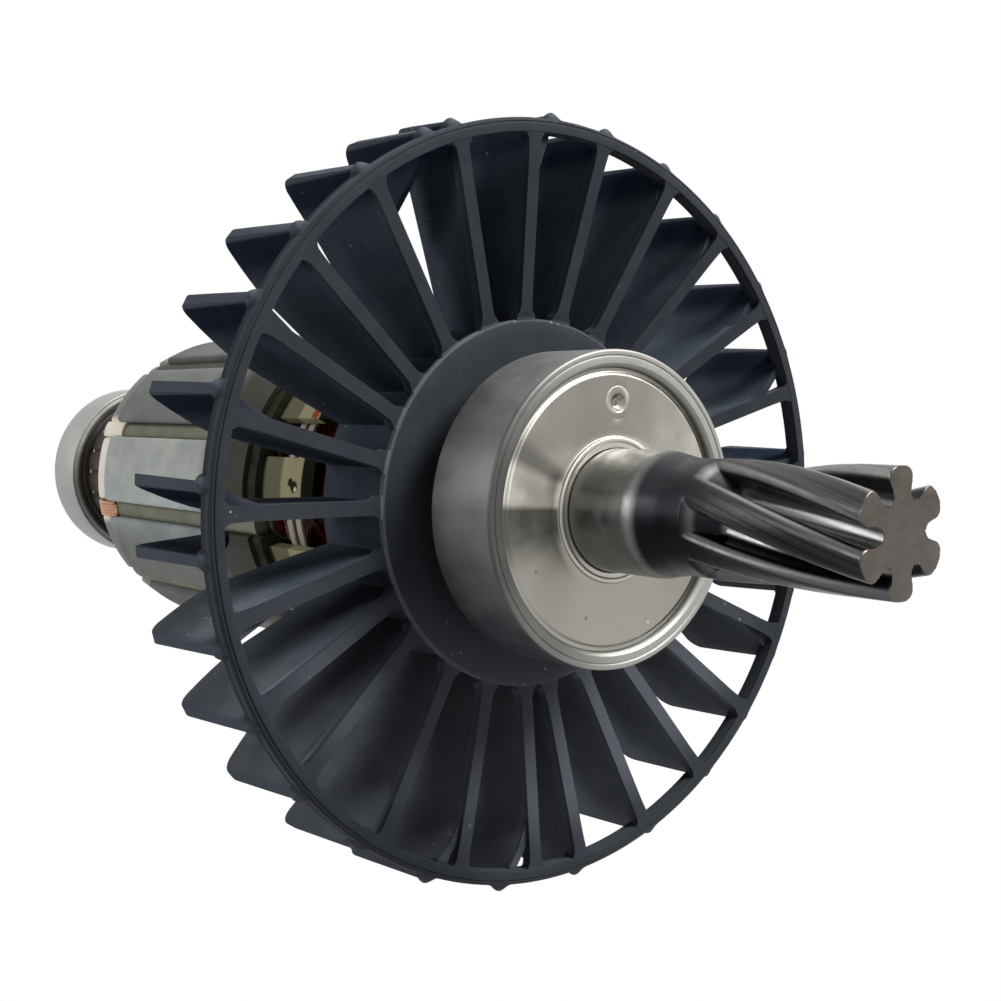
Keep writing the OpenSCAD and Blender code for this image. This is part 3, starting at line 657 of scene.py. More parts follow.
# The first mark, in the dimple, is painted shade on its floor
SHIELD_MARKS = (((5.3, 0.14, 13.4), 0.75, (0.1, 0.095, 0.085)),
                ((5.3, -12.21, -7.4), 0.28, (0.2, 0.19, 0.17)),
                ((5.3, -3.96, -13.34), 0.3, (0.22, 0.21, 0.19)),
                ((5.3, 6.63, -14.37), 0.2, (0.8, 0.79, 0.75)),
                ((5.3, 6.08, -13.96), 0.14, (0.16, 0.15, 0.14)),
                ((5.3, 10.79, 9.26), 0.22, DARK_PIT),
                ((5.3, -1.28, -6.85), 0.16, DARK_PIT),
                ((5.3, -9.34, 13.32), 0.13, DARK_PIT))
FIBRE_MARKS = (((-34.6, -22.5, 1.0), 1.1, BURNT),
               ((-34.3, -22.5, 0.65), 0.45, (0.7, 0.64, 0.5)),
               ((-35.6, -22.4, 1.5), 0.8, BURNT),
               ((-34.0, -19.6, 11.0), 1.0, (0.3, 0.07, 0.035)),
               ((-33.6, -18.7, 12.5), 0.9, (0.3, 0.08, 0.04)))
FAN_SCUFFS = (((-6.3, -47.1, -0.69), 0.2), ((-6.25, -46.2, -1.1), 0.12), ((-6.0, -47.76, -0.23), 0.11),
              ((-10.3, -23.6, -13.78), 0.16), ((-10.3, -16.77, 15.17), 0.2))

# Painted shade on the front of the core, and olive, cream and near-black bands along the front insulator
CORE_SHADE_BANDS = ((-61.0, -54.5, (0.042, 0.04, 0.031)),)
FIBRE_BANDS = ((-43.4, -42.4, (0.15, 0.142, 0.09)), (-38.6, -37.8, (0.34, 0.31, 0.19)),
               (-33.0, -32.5, (0.014, 0.013, 0.009)))

FAN_PLASTIC = fan_plastic()
BEARING_STEEL = metal("bearing_steel", (0.17, 0.172, 0.168), (0.22, 0.222, 0.215), rough=(0.4, 0.52),
                      line_depth=0.004, metallic=0.6, painted_light=SIDE_PAINTED_LIGHT,
                      face=(5.2, 5.7, (0.36, 0.355, 0.33), RIM_PAINTED_LIGHT))
REAR_STEEL = metal("rear_bearing_steel", (0.3, 0.31, 0.29), (0.38, 0.39, 0.37), rough=(0.4, 0.52),
                   line_depth=0.004, metallic=0.6)
# The lip within radius 9.2 is a lighter copy of the shield's steel, a painted highlight
SHIELD_STEEL = metal("shield_steel", (0.335, 0.32, 0.282), (0.375, 0.36, 0.322), rough=(0.32, 0.42),
                     round_face=True, line_depth=0.004, painted_light=SHIELD_PAINTED_REFLECTION,
                     lip=(9.2, (0.52, 0.5, 0.455)), marks=SHIELD_MARKS)
PINION_STEEL = pinion_metal()
CORE_COAT = moulded("core_coating", (0.165, 0.173, 0.162), (0.225, 0.235, 0.218), rough=(0.45, 0.6),
                    size=5.0, grain=0.42, depth=0.05, gloss=0.05, painted_light=CORE_PAINTED_LIGHT, bands=CORE_SHADE_BANDS)
BALL_STEEL = metal("ball_steel", (0.5, 0.5, 0.5), (0.6, 0.6, 0.6), rough=(0.08, 0.14))
COPPER = metal("commutator_copper", (0.022, 0.012, 0.008), (0.042, 0.023, 0.015), line_depth=0.006)
PAPER = moulded("slot_wedge_paper", (0.12, 0.12, 0.085), (0.19, 0.188, 0.14), rough=(0.5, 0.65),
                grain=0.25, depth=0.02, painted_light=WEDGE_PAINTED_SHADOW, gloss=0.15)
REAR_FIBRE = rear_fibre()
LEAD = moulded("lead_wire", (0.02, 0.008, 0.007), (0.045, 0.014, 0.012), rough=(0.5, 0.6), gloss=0.05)
BARE_WIRE = moulded("bare_wire_end", (0.5, 0.24, 0.13), (0.68, 0.36, 0.2), rough=(0.3, 0.4), size=1.0)
FRONT_FIBRE = moulded("front_fibre", (0.02, 0.019, 0.014), (0.055, 0.052, 0.035), rough=(0.35, 0.5),
                      size=3.0, grain=0.6, depth=0.03, gloss=0.0, bands=FIBRE_BANDS, marks=FIBRE_MARKS)
ENAMEL = moulded("enamelled_wire", (0.07, 0.009, 0.01), (0.17, 0.022, 0.022), rough=(0.2, 0.32),
                 size=1.5, grain=0.8, coat=0.3)
CORD = moulded("binding_cord", (0.4, 0.36, 0.27), (0.55, 0.5, 0.4), rough=(0.55, 0.7), grain=0.3,
               depth=0.05)
PHENOLIC = moulded("phenolic", (0.05, 0.03, 0.02), (0.09, 0.055, 0.035), rough=(0.35, 0.5))
RUBBER = moulded("seal_rubber", (0.022, 0.018, 0.014), (0.04, 0.034, 0.026), rough=(0.5, 0.65))
NYLON = moulded("cage_nylon", (0.1, 0.06, 0.04), (0.16, 0.1, 0.07), rough=(0.4, 0.5))
BANDING = moulded("glass_banding", (0.3, 0.28, 0.22), (0.4, 0.38, 0.3), rough=(0.5, 0.6))


# Front bearing

def bearing_ring_profile(r_out, half, seat_r, land_r, depth, edge):
    """Half section of an outer ring with rounded corners and a step at each end."""
    face_r = seat_r + 0.6 * (r_out - seat_r)
    return rounded([(land_r, -half + depth), (seat_r, -half + depth, 0.1), (seat_r, -half, 0.15),
                    (r_out, -half, edge), (r_out, half, edge), (face_r + 0.22, half, 0.05),
                    (face_r + 0.1, half - 0.16, 0.04), (face_r, half - 0.03, 0.05),
                    (seat_r + 0.45, half, 0.1), (seat_r, half - 0.4, 0.2), (seat_r, half - depth, 0.1),
                    (land_r, half - depth)], 0.1, steps=4)


def shield_profile():
    """Section of the shield: a dished edge, a flat face and a lip rolled over at the bore."""
    lip_mid = (LIP_OUT_R + LIP_IN_R) / 2
    return rounded([(LIP_IN_R, SHIELD_BACK_X, 0.05), (FRONT_SEAT_R, SHIELD_BACK_X, 0.05),
                    (FRONT_SEAT_R, SHIELD_EDGE_X, 0.1), (SHIELD_FACE_R + 0.05, SHIELD_EDGE_X, 0.15),
                    (SHIELD_FACE_R - 0.35, SHIELD_FACE_X, 0.3), (LIP_OUT_R + 0.7, SHIELD_FACE_X, 0.6),
                    (LIP_OUT_R, SHIELD_FACE_X + 0.12, 0.2), (LIP_OUT_R - 0.05, LIP_X + 0.02, 0.2),
                    (lip_mid + 0.2, LIP_X + 0.1, 0.2), (lip_mid, LIP_X - 0.08, 0.15),
                    (LIP_IN_R + 0.15, LIP_X, 0.1), (LIP_IN_R, LIP_X - 0.1, 0.1)], 0.1, steps=5)


def front_outer():
    """Outer ring, shield and rear seal of the front bearing."""
    turned_piece("front_outer_ring",
                 bearing_ring_profile(FRONT_R, FRONT_HALF, FRONT_SEAT_R, FRONT_LAND_R, FRONT_STEP, 0.55),
                 224, BEARING_STEEL, "front_outer", "bearing_steel", "front_bearing_outer_ring")
    shield = turned_piece("front_shield", shield_profile(), 256, SHIELD_STEEL, "front_outer",
                          "shield_steel", "front_bearing_shield")
    rear, front = FRONT_SEAL_X
    seal = [(FRONT_SEAL_R, rear), (FRONT_SEAT_R, rear), (FRONT_SEAT_R, front), (FRONT_SEAL_R, front)]
    turned_piece("front_seal", rounded(seal, 0.2), 128, RUBBER, "front_outer", "seal_rubber",
                 "front_bearing_seal")
    shield_dimple(shield)


def shield_dimple(shield):
    """Drills the pressed dimple into the shield and sets a raised ring round it."""
    centre = Matrix.Translation(on_axis(SHIELD_FACE_X, DIMPLE_AT_R, DIMPLE_ANGLE))
    bm = bmesh.new()
    pit = [(0.0, -0.62), (0.55, -0.6, 0.2), (1.2, 0.06, 0.1), (1.3, 0.6, 0.1), (0.0, 0.6)]
    lathe_into(bm, rounded(pit, 0.1, closed=False), steps=40, closed=False)
    bmesh.ops.transform(bm, matrix=centre, verts=bm.verts)
    drill = make_object("dimple_drill", bm, SHIELD_STEEL)
    carve = shield.modifiers.new("dimple", "BOOLEAN")
    carve.operation = "DIFFERENCE"
    carve.object = drill
    carve.solver = "EXACT"
    bpy.context.view_layer.update()
    carved = shield.evaluated_get(bpy.context.evaluated_depsgraph_get())
    done = bpy.data.meshes.new_from_object(carved)
    shield.modifiers.clear()
    shield.data = done
    bpy.data.objects.remove(drill)

    bm = bmesh.new()
    rim = [(1.15, -0.2), (1.2, 0.05, 0.1), (1.6, 0.09, 0.3), (2.1, 0.01, 0.3), (2.3, -0.2)]
    lathe_into(bm, rounded(rim, 0.1, steps=4), steps=48)
    bmesh.ops.transform(bm, matrix=centre, verts=bm.verts)
    piece("dimple_rim", bm, SHIELD_STEEL, "front_outer", "shield_steel")


# Shaft

def tooth_and_space(root_r):
    """Polar points (radius, degrees) of one tooth space with a round floor, and half a tooth each side."""
    half, corner = SPACE_HALF_W, TOOTH_CORNER
    floor_at = root_r + half
    along = math.sqrt((PINION_TIP_R - corner) ** 2 - (half + corner) ** 2)
    side = [(floor_at + half * math.cos(a), half * math.sin(a))
            for a in [math.radians(t) for t in (172, 158, 143, 128, 113, 98)]]
    side += [(floor_at + 0.4, half), (along - 0.1, half)]
    last = math.atan2(half + corner, along)
    for k in range(7):
        a = -math.pi / 2 + (last + math.pi / 2) * k / 6
        side.append((along + corner * math.cos(a), half + corner + corner * math.sin(a)))
    first = math.degrees(last)
    mid = 180.0 / PINION_TEETH
    side += arc(PINION_TIP_R, first, mid, 4)[1:-1]
    polar = [(math.hypot(u, v), math.degrees(math.atan2(v, u))) for u, v in side]
    return [(r, -d) for r, d in reversed(polar)] + [(root_r, 0.0)] + polar + [(PINION_TIP_R, mid)]


def runout_radius(x):
    """Floor of the tooth spaces, from the neck down to the root."""
    t = min(1.0, max(0.0, (x - RUNOUT_START_X) / (RUNOUT_END_X - RUNOUT_START_X)))
    return NECK_R + (RUNOUT_R - NECK_R) * (1 - math.sqrt(1 - t ** 2)) ** 0.5


def pinion_row(bm, x, outline):
    """One turned slice of the pinion, whose spaces run out into the neck."""
    turn = TOOTH_PHASE + HELIX_RATE * (x - PINION_END_X)
    floor_r = runout_radius(x)
    top_r = NECK_R + (PINION_TIP_R - NECK_R) * min(1.0, (x - PINION_START_X) / TIP_RISE_LEN)
    row = []
    for r, deg in outline:
        share = max(0.0, min(1.0, 0.5 + (r - floor_r) / (2 * RUNOUT_SOFT)))
        r = floor_r + (r - floor_r) * share + RUNOUT_SOFT * share * (1 - share)
        row.append(bm.verts.new(on_axis(x, min(r, top_r), deg + turn)))
    return row


def shaft():
    """The turned shaft with the helical pinion on its front end."""
    bm = bmesh.new()
    outline = []
    for k, root_r in enumerate(SPACE_ROOTS):
        outline += [(r, deg + 360.0 / PINION_TEETH * (k + 0.5)) for r, deg in tooth_and_space(root_r)]
    length = PINION_END_X - PINION_START_X
    rows = [pinion_row(bm, PINION_START_X + length * i / PINION_SLICES, outline)
            for i in range(PINION_SLICES + 1)]
    rows_into(bm, rows)
    end = bm.faces.new(rows[-1])
    bmesh.ops.bevel(bm, geom=list(end.edges), offset=0.24, segments=3, profile=0.5, affect="EDGES",
                    clamp_overlap=True)
    profile = rounded([(0, SHAFT_REAR_X), (SHAFT_REAR_R, SHAFT_REAR_X, 0.5),
                       (SHAFT_REAR_R, REAR_STEP_X, 0.1), (SHAFT_COMM_R, REAR_STEP_X, 0.2),
                       (SHAFT_COMM_R, SLEEVE_REAR_X, 0.1), (SHAFT_BODY_R, SLEEVE_REAR_X, 0.2),
                       (SHAFT_BODY_R, SHOULDER_REAR_X, 0.1), (SHOULDER_R, SHOULDER_REAR_X, 0.3),
                       (SHOULDER_R, SHOULDER_FRONT_X, 0.3), (SHAFT_BODY_R, SHOULDER_FRONT_X, 0.1),
                       (SHAFT_BODY_R, BOSS_FRONT_X, 0.2), (SHAFT_FRONT_R, BOSS_FRONT_X, 0.1),
                       (SHAFT_FRONT_R, JOURNAL_REAR_X, 0.2), (JOURNAL_R, JOURNAL_REAR_X, 0.1),
                       (JOURNAL_R, JOURNAL_END_X, 0.9), (NECK_R + 0.45, JOURNAL_END_X + 1.6, 1.2),
                       (NECK_R, NECK_X, 1.6), (NECK_R, PINION_START_X + 0.05)], 0.2, steps=6, closed=False)
    lathe_into(bm, profile, steps=len(outline), closed=False)
    piece("shaft_with_pinion", bm, PINION_STEEL, "rotor", "pinion_steel", "shaft", smooth_deg=40)


# Fan

def plate_into(bm, stations, place):
    """A thin plate from stations of (radius, front x, rear x, sideways middle)."""
    half = BLADE_W / 2
    rings = []
    for r, front, rear, side in stations:
        rings.append([bm.verts.new(p) for p in ((front, r, side - half), (front, r, side + half),
                                                (rear, r, side + half), (rear, r, side - half))])
    bm.faces.new(rings[0])
    outer = bm.faces.new(rings[-1][::-1])
    rows_into(bm, [ring[::-1] for ring in rings])
    edges = [bm.edges.get(pair) for low, high in zip(rings, rings[1:]) for pair in zip(low, high)]
    edges += list(outer.edges)
    bevel_and_place(bm, [v for ring in rings for v in ring], edges, 0.28, 2, place)


def blade_stations(from_r, bend, front_of):
    """Stations of a blade from an inner radius to its outer edge, with a rounded outer rear corner."""
    end = BLADE_R * math.cos(math.radians(bend))
    shift = BLADE_R * math.sin(math.radians(bend))
    radii = [r for r in (from_r, 28.0, 32.0, 36.0, 39.0, BLADE_BEND_R, 43.0, 45.0, 47.0) if r >= from_r]
    radii += [end - share * BLADE_CORNER for share in (1, 0.75, 0.5, 0.28, 0.12, 0.03, 0)]
    stations = []
    for r in radii:
        past = max(0.0, r - BLADE_BEND_R) / (end - BLADE_BEND_R)
        rear = FAN_REAR_X
        into = r - end + BLADE_CORNER
        if into > 0:
            rear += BLADE_CORNER - math.sqrt(max(0.0, BLADE_CORNER ** 2 - into ** 2))
        front = front_of(r)
        if r > end - BLADE_FLARE:
            share = (r - end + BLADE_FLARE) / BLADE_FLARE
            front += share * (FAN_REAR_X + BLADE_CORNER - front) * 0.98
        stations.append((r, front, rear, shift * past ** 1.25))
    return stations


def blade_front(r):
    """Front edge of a blade, a little inside its spoke and then inside the ring."""
    along = (r - FAN_HUB_R) / (FAN_RING_IN_R - FAN_HUB_R)
    return min(FAN_FRONT_X - FAN_DISH * (1 - along) - 0.6, FAN_FRONT_X - 0.5 * FAN_RING_T)


def short_fin_front(r):
    """Front edge of a short fin, which slopes back from the ring."""
    ring_r = FAN_R - 0.8 * FAN_RING_W
    share = min(1.0, (r - SHORT_FIN_R) / (ring_r - SHORT_FIN_R))
    return FAN_REAR_X + (FAN_FRONT_X - 0.5 * FAN_RING_T - FAN_REAR_X - 0.4) * share + 0.4


def blade_place(spoke):
    """Turns a blade to its spoke. One blade leans about an axis along its spoke's foot."""
    place = turned_about_x(spoke)
    if spoke != LEANING_SPOKE:
        return place
    tilt = math.atan2(FAN_DISH, FAN_R - FAN_HUB_R)
    pivot = Vector((FAN_HUB_X, FAN_HUB_R, 0))
    return (place @ Matrix.Translation(pivot) @ Matrix.Rotation(-tilt, 4, "Z")
            @ Matrix.Rotation(math.radians(LEAN), 4, "Y") @ Matrix.Rotation(tilt, 4, "Z")
            @ Matrix.Translation(-pivot))


def spokes_into(bm):
    """Spokes that widen into fillets where they meet hub and ring."""
    run = FAN_RING_IN_R + 0.4 - FAN_HUB_R
    tilt = math.atan2(FAN_DISH, run)
    length = math.hypot(FAN_DISH, run)
    half = 0.5 * SPOKE_W
    side = [(-0.8, half + 0.6), (0.3, half + 0.6, 0.2), (1.2, half + 0.05, 0.8), (3.0, half, 1.0),
            (length - 3.2, half, 1.0), (length - 1.1, half + 0.12, 0.9), (length - 0.3, half + 0.75, 0.3),
            (length, half + 0.85)]
    outline = rounded(side + [(y, -z, *rest) for y, z, *rest in reversed(side)], 0.1, steps=4)
    for deg in SPOKE_ANGLES:
        place = (turned_about_x(deg) @ Matrix.Translation((FAN_HUB_X, FAN_HUB_R, 0))
                 @ Matrix.Rotation(-tilt, 4, "Z"))
        prism_into(bm, outline, -SPOKE_DEPTH, 0.0, bevel=0.22, place=place)


def bead_into(bm, deg):
    """Low mound where a blade's outer edge runs out on the ring."""
    front, crown, rear = FAN_FRONT_X - 0.4, FAN_FRONT_X - 1.6, FAN_FRONT_X - 3.6
    height, half, sunk = BLADE_R - FAN_R - 0.1, 1.3, 0.5
    steps = 14
    rows = []
    for i in range(steps + 1):
        x = front + (rear - front) * i / steps
        ahead = x > crown
        away = (x - crown) / ((front if ahead else rear) - crown)
        wide = half - (half - BLADE_W / 2 - 0.1) * away ** 2 * (0.4 if ahead else 1.0)
        row = [(FAN_R - sunk, wide)]
        for k in range(steps + 1):
            side = 1 - 2 * k / steps
            lift = math.cos(0.5 * math.pi * away) * math.cos(0.5 * math.pi * side) ** 0.9
            row.append((FAN_R - 0.06 + height * lift, wide * side))
        row.append((FAN_R - sunk, -wide))
        rows.append([bm.verts.new((x, y, z)) for y, z in row])
    rows_into(bm, rows)
    bm.faces.new(rows[0][::-1])
    bm.faces.new(rows[-1])
    bmesh.ops.transform(bm, matrix=turned_about_x(deg), verts=[v for row in rows for v in row])


def fan():
    """Ring, hub, spokes, blades and beads in one moulding."""
    bm = bmesh.new()
    back = FAN_FRONT_X - FAN_RING_T
    ring = [(FAN_RING_IN_R, FAN_FRONT_X, 0.15), (FAN_R - 0.75, FAN_FRONT_X, 0.1),
            (FAN_R - 0.6, FAN_FRONT_X - 0.22, 0.05), (FAN_R - 0.45, FAN_FRONT_X - 0.1, 0.1),
            (FAN_R, FAN_FRONT_X - 0.45, 0.3), (FAN_R, back, 0.3), (FAN_RING_IN_R, back, 0.3)]
    lathe_into(bm, rounded(ring, 0.3, steps=4), steps=256)
    tube_r, tube_in, tube_rear = FAN_HUB_R - 0.65, FAN_HUB_R - 1.6, FAN_REAR_X - 0.4
    hub = [(SHAFT_BODY_R, BOSS_FRONT_X, 0.1), (FAN_BOSS_R, BOSS_FRONT_X, 0.5),
           (FAN_BOSS_R + 0.3, FAN_HUB_X + 0.25, 0.4), (tube_in, FAN_HUB_X + 0.25, 0.5),
           (FAN_HUB_R, FAN_HUB_X, 0.4), (FAN_HUB_R, FAN_HUB_X - 0.8, 0.25),
           (tube_r, FAN_HUB_X - 1.1, 0.3), (tube_r, tube_rear, 0.3), (tube_in, tube_rear, 0.3),
           (tube_in, FAN_HUB_X - 2.6, 0.8), (FAN_BOSS_R, FAN_HUB_X - 2.6, 0.8),
           (FAN_BOSS_R, SHOULDER_FRONT_X, 0.4), (SHAFT_BODY_R, SHOULDER_FRONT_X, 0.1)]
    lathe_into(bm, rounded(hub, 0.2, steps=4), steps=192)
    spokes_into(bm)
    for spoke, outer in zip(SPOKE_ANGLES, BLADE_ANGLES):
        plate_into(bm, blade_stations(BLADE_ROOT_R, outer - spoke, blade_front), blade_place(spoke))
    for deg in SHORT_FINS:
        plate_into(bm, blade_stations(SHORT_FIN_R, 0.0, short_fin_front), turned_about_x(deg))
    for deg in BLADE_ANGLES + SHORT_FINS + (LONE_BEAD,):
        bead_into(bm, deg)
    piece("fan", bm, FAN_PLASTIC, "rotor", "fan_plastic", "cooling_fan", smooth_deg=38)


# Core and its insulation

def slot_outline(inset, mouth_r):
    """Points down one side of a slot and up the other, in the slot's own (radius, side) plane."""
    big, small, half = SLOT_BIG_R - inset, SLOT_SMALL_R - inset, MOUTH_W / 2 - inset
    top, turn_over = math.asin(min(1.0, half / big)), math.pi / 2 + 0.12
    side = [(mouth_r, -half)]
    for k in range(9):
        a = top + (turn_over - top) * k / 8
        side.append((SLOT_BIG_AT + big * math.cos(a), -big * math.sin(a)))
    for k in range(9):
        a = turn_over + (math.pi - turn_over) * k / 8
        side.append((SLOT_SMALL_AT + small * math.cos(a), -small * math.sin(a)))
    return side + [(r, -s) for r, s in reversed(side)]


def turned_2d(points, deg):
    c, s = math.cos(math.radians(deg)), math.sin(math.radians(deg))
    return [(r * c - t * s, r * s + t * c) for r, t in points]


def slotted_outline(r_out):
    """Outline of the core: tooth faces joined by slots that open through their mouths."""
    half = MOUTH_W / 2
    mouth_deg = math.degrees(math.asin((half + TOOTH_EDGE) / r_out))
    mouth_r = math.sqrt(r_out ** 2 - half ** 2)
    turn_in = [(mouth_r - TOOTH_EDGE * (1 - math.sin(a)), half + TOOTH_EDGE * (1 - math.cos(a)))
               for a in [math.radians(t) for t in (0, 22, 45, 68, 90)]]
    slot = ([(r, -side) for r, side in reversed(turn_in)]
            + slot_outline(0.0, mouth_r - TOOTH_EDGE)[1:-1] + turn_in)
    out = []
    for deg in SLOT_ANGLES:
        out += turned_2d(slot, deg)
        out += arc(r_out, deg + mouth_deg, deg + SLOT_PITCH - mouth_deg, 12)[1:-1]
    return out


def crowned(in_r, top_r, half, in_corner, out_corner):
    """Section of a strip whose outer face is slightly crowned."""
    side = [(in_r, -half, in_corner), (top_r - 0.25, -half, out_corner)]
    return rounded(side + [(top_r, 0.0, 0.9)] + [(r, -s, c) for r, s, c in reversed(side)], 0.2, steps=4)


def core():
    """The coated stack of laminations, and the wedges that close its slots."""
    bm = bmesh.new()
    prism_into(bm, slotted_outline(CORE_R), CORE_REAR_X, CORE_FRONT_X, bevel=0.6, segments=4)
    piece("core_stack", bm, CORE_COAT, "rotor", "lamination_steel", "lamination_core", smooth_deg=30)

    bm = bmesh.new()
    wedge = crowned(WEDGE_IN_R, WEDGE_R, MOUTH_W / 2 - 0.04, 0.2, 0.3)
    for deg in SLOT_ANGLES:
        prism_into(bm, wedge, CORE_REAR_X - WEDGE_OUT, CORE_FRONT_X + WEDGE_OUT, bevel=0.15,
                   place=turned_about_x(deg))
    piece("slot_wedge_set", bm, PAPER, "rotor", "insulating_paper", "slot_wedges")


def rear_insulator():
    """The rear plate, with a tab in every slot but one and a fold over the first slot's wedge."""
    bm = bmesh.new()
    prism_into(bm, slotted_outline(END_INS_R), REAR_PLATE_X, CORE_REAR_X, bevel=0.7, segments=4)
    tab = crowned(19.0, 23.45, TAB_HALF_W, 0.1, 0.3)
    for k, deg in enumerate(SLOT_ANGLES):
        if k != COPPER_SLOT:
            prism_into(bm, tab, REAR_PLATE_X, CORE_REAR_X - WEDGE_OUT - 0.05, bevel=0.3,
                       place=turned_about_x(deg))
    fold = crowned(23.0, 24.05, TAB_HALF_W, 0.1, 0.2)
    prism_into(bm, fold, REAR_PLATE_X, CORE_REAR_X + 3.0, bevel=0.3, place=turned_about_x(SLOT_PHASE))
    piece("rear_insulator", bm, REAR_FIBRE, "rotor", "insulating_fibre", "rear_end_insulator",
          smooth_deg=40)


def front_insulator():
    """The front plate, with a finger on each tooth that reaches over the winding head."""
    bm = bmesh.new()
    prism_into(bm, slotted_outline(END_INS_R), CORE_FRONT_X, FRONT_PLATE_X, bevel=0.5, segments=3)
    for deg in SLOT_ANGLES:
        start = deg + SLOT_PITCH / 2 - FINGER_DEG / 2
        end = start + FINGER_DEG
        outline = arc(FINGER_R, start, end, 8) + arc(FINGER_R - FINGER_W, end, start, 8)
        prism_into(bm, outline, CORE_FRONT_X + 1.2, FINGER_END_X, bevel=0.3, segments=3)
    piece("front_insulator", bm, FRONT_FIBRE, "rotor", "insulating_fibre", "front_end_insulator",
          smooth_deg=40)


# Winding

def coil_wire(x_plate, x_end, start_deg, layer, depth, height):
    """Points of one wire from a slot over the winding head to the slot five further on."""
    sign = math.copysign(1, x_end - x_plate)
    reach = (x_end - x_plate) * (0.66 + 0.05 * (layer % 4)) - 0.75 * height * sign
    points = []
    steps = 22
    for i in range(steps + 1):
        t = i / steps
        deg = start_deg + COIL_SPAN * SLOT_PITCH * (t + 0.06 * math.sin(TURN * t))
        rise = math.sin(math.pi * t)
        r = COIL_R - 0.78 * depth - 4.3 * rise ** 1.5 + 0.25 * math.sin(3 * TURN * t + layer)
        x = x_plate + reach * rise ** 0.55 - 1.2 * sign * (1 - rise ** 0.3)
        points.append(on_axis(x, r, deg + 2.1 * (height - 1.5) * (1 - rise)))
    return points


def winding():
    """Both winding heads, with their wires, and the bundles in the slots."""
    bm = bmesh.new()
    for x_plate, x_end in ((FRONT_PLATE_X, HEAD_FRONT_X), (REAR_PLATE_X, HEAD_REAR_X)):
        sign = math.copysign(1, x_end - x_plate)
        head = [(HEAD_IN_R, x_plate - sign * 2), (HEAD_OUT_R, x_plate - sign * 2),
                (HEAD_OUT_R, x_end - sign * 2.6, 3.0), (HEAD_IN_R, x_end - sign * 1.5, 1.0)]
        lathe_into(bm, rounded(head, 0.2), steps=64)
        for k, deg in enumerate(SLOT_ANGLES):
            for depth in range(COIL_LAYERS):
                for height in range(COIL_LAYERS):
                    # The bundle's inner corner is left empty
                    if depth + height < 2 * (COIL_LAYERS - 1):
                        tube_into(bm, coil_wire(x_plate, x_end, deg, k, depth, height), WIRE_R, 6)
    for deg in SLOT_ANGLES:
        prism_into(bm, slot_outline(0.4, 21.0), REAR_PLATE_X, FRONT_PLATE_X, place=turned_about_x(deg))
    piece("winding", bm, ENAMEL, "rotor", "enamelled_wire", "armature_winding", smooth_deg=60)


def bare_wires():
    """A bundle of bare wires that comes out over one wedge and down the rear insulator."""
    bm = bmesh.new()
    deg = SLOT_ANGLES[COPPER_SLOT]
    for side in (-1.0, -0.5, 0.0, 0.5, 1.0):
        path = ((3.0 - 0.8 * side ** 2, 0.35), (2.0, 0.1), (0.6, 0.0), (-1.4, 0.0), (-3.0, 0.1),
                (-4.2, 0.6), (-5.0, 1.8), (-5.2, 3.2))
        points = [on_axis(CORE_REAR_X + x, BARE_WIRE_AT - drop, deg) + on_axis(0, side, deg + 90)
                  for x, drop in path]
        tube_into(bm, points, BARE_WIRE_R, 10)
    piece("bare_wire_bundle", bm, BARE_WIRE, "rotor", "enamelled_wire", smooth_deg=60)


def lead_wires():
    """A lead from the winding to the hook of each commutator bar."""
    bm = bmesh.new()
    for k in range(BAR_COUNT):
        points = []
        for t in [i / 12 for i in range(13)]:
            r = COMM_R + 0.62 + 1.7 * t ** 2 * (3 - 2 * t)
            points.append(on_axis(BAR_FRONT_X - 1.5 + 7.3 * t, r, (k + 0.5) * BAR_PITCH + 9 * t ** 2))
        tube_into(bm, points, LEAD_R, 10)
    piece("lead_wires", bm, LEAD, "rotor", "enamelled_wire", "commutator_leads", smooth_deg=60)


def cords():
    """Two bindings of three turns of twine each."""
    bm = bmesh.new()
    steps = 90 * CORD_TURNS
    for at in CORD_PLACES:
        points = []
        for t in [i / steps for i in range(steps + 1)]:
            r = CORD_AT_R + 0.05 * math.sin(TURN * 5 * t)
            points.append(on_axis(at - 0.75 + 1.5 * t, r, 360 * CORD_TURNS * t))
        tube_into(bm, points, CORD_R, 8)
    piece("cord_turns", bm, CORD, "rotor", "binding_cord", "binding_cords", smooth_deg=60)


# Commutator

def commutator_bars():
    """Bars whose hooks rise at the front end and curl back over the lead wires."""
    bm = bmesh.new()
    out_half, in_half = (0.5 * BAR_PITCH - math.degrees(BAR_GAP / 2 / r) for r in (COMM_R, BAR_IN_R))
    outline = arc(COMM_R, -out_half, out_half, 6) + arc(BAR_IN_R, in_half, -in_half, 4)
    hook = [(0.05, 13.2), (0.05, 14.75), (0.45, 15.3), (1.2, 15.4), (2.1, 15.2), (2.4, 14.75),
            (2.1, 14.6), (1.9, 14.85), (1.2, 15.02), (0.75, 14.8), (0.62, 14.3), (0.7, 13.2)]
    hook = rounded([(BAR_FRONT_X - back, r) for back, r in hook], 0.2, steps=2)
    lay = Matrix(((0, 1, 0, 0), (0, 0, 1, 0), (1, 0, 0, 0), (0, 0, 0, 1)))
    for k in range(BAR_COUNT):
        place = turned_about_x((k + 0.5) * BAR_PITCH)
        prism_into(bm, outline, BAR_REAR_X, BAR_FRONT_X, bevel=0.16, place=place)
        prism_into(bm, hook, -HOOK_HALF_W, HOOK_HALF_W, bevel=0.12, place=place @ lay)
    piece("commutator_bar_set", bm, COPPER, "rotor", "commutator_copper", "commutator_bars",
          smooth_deg=40)


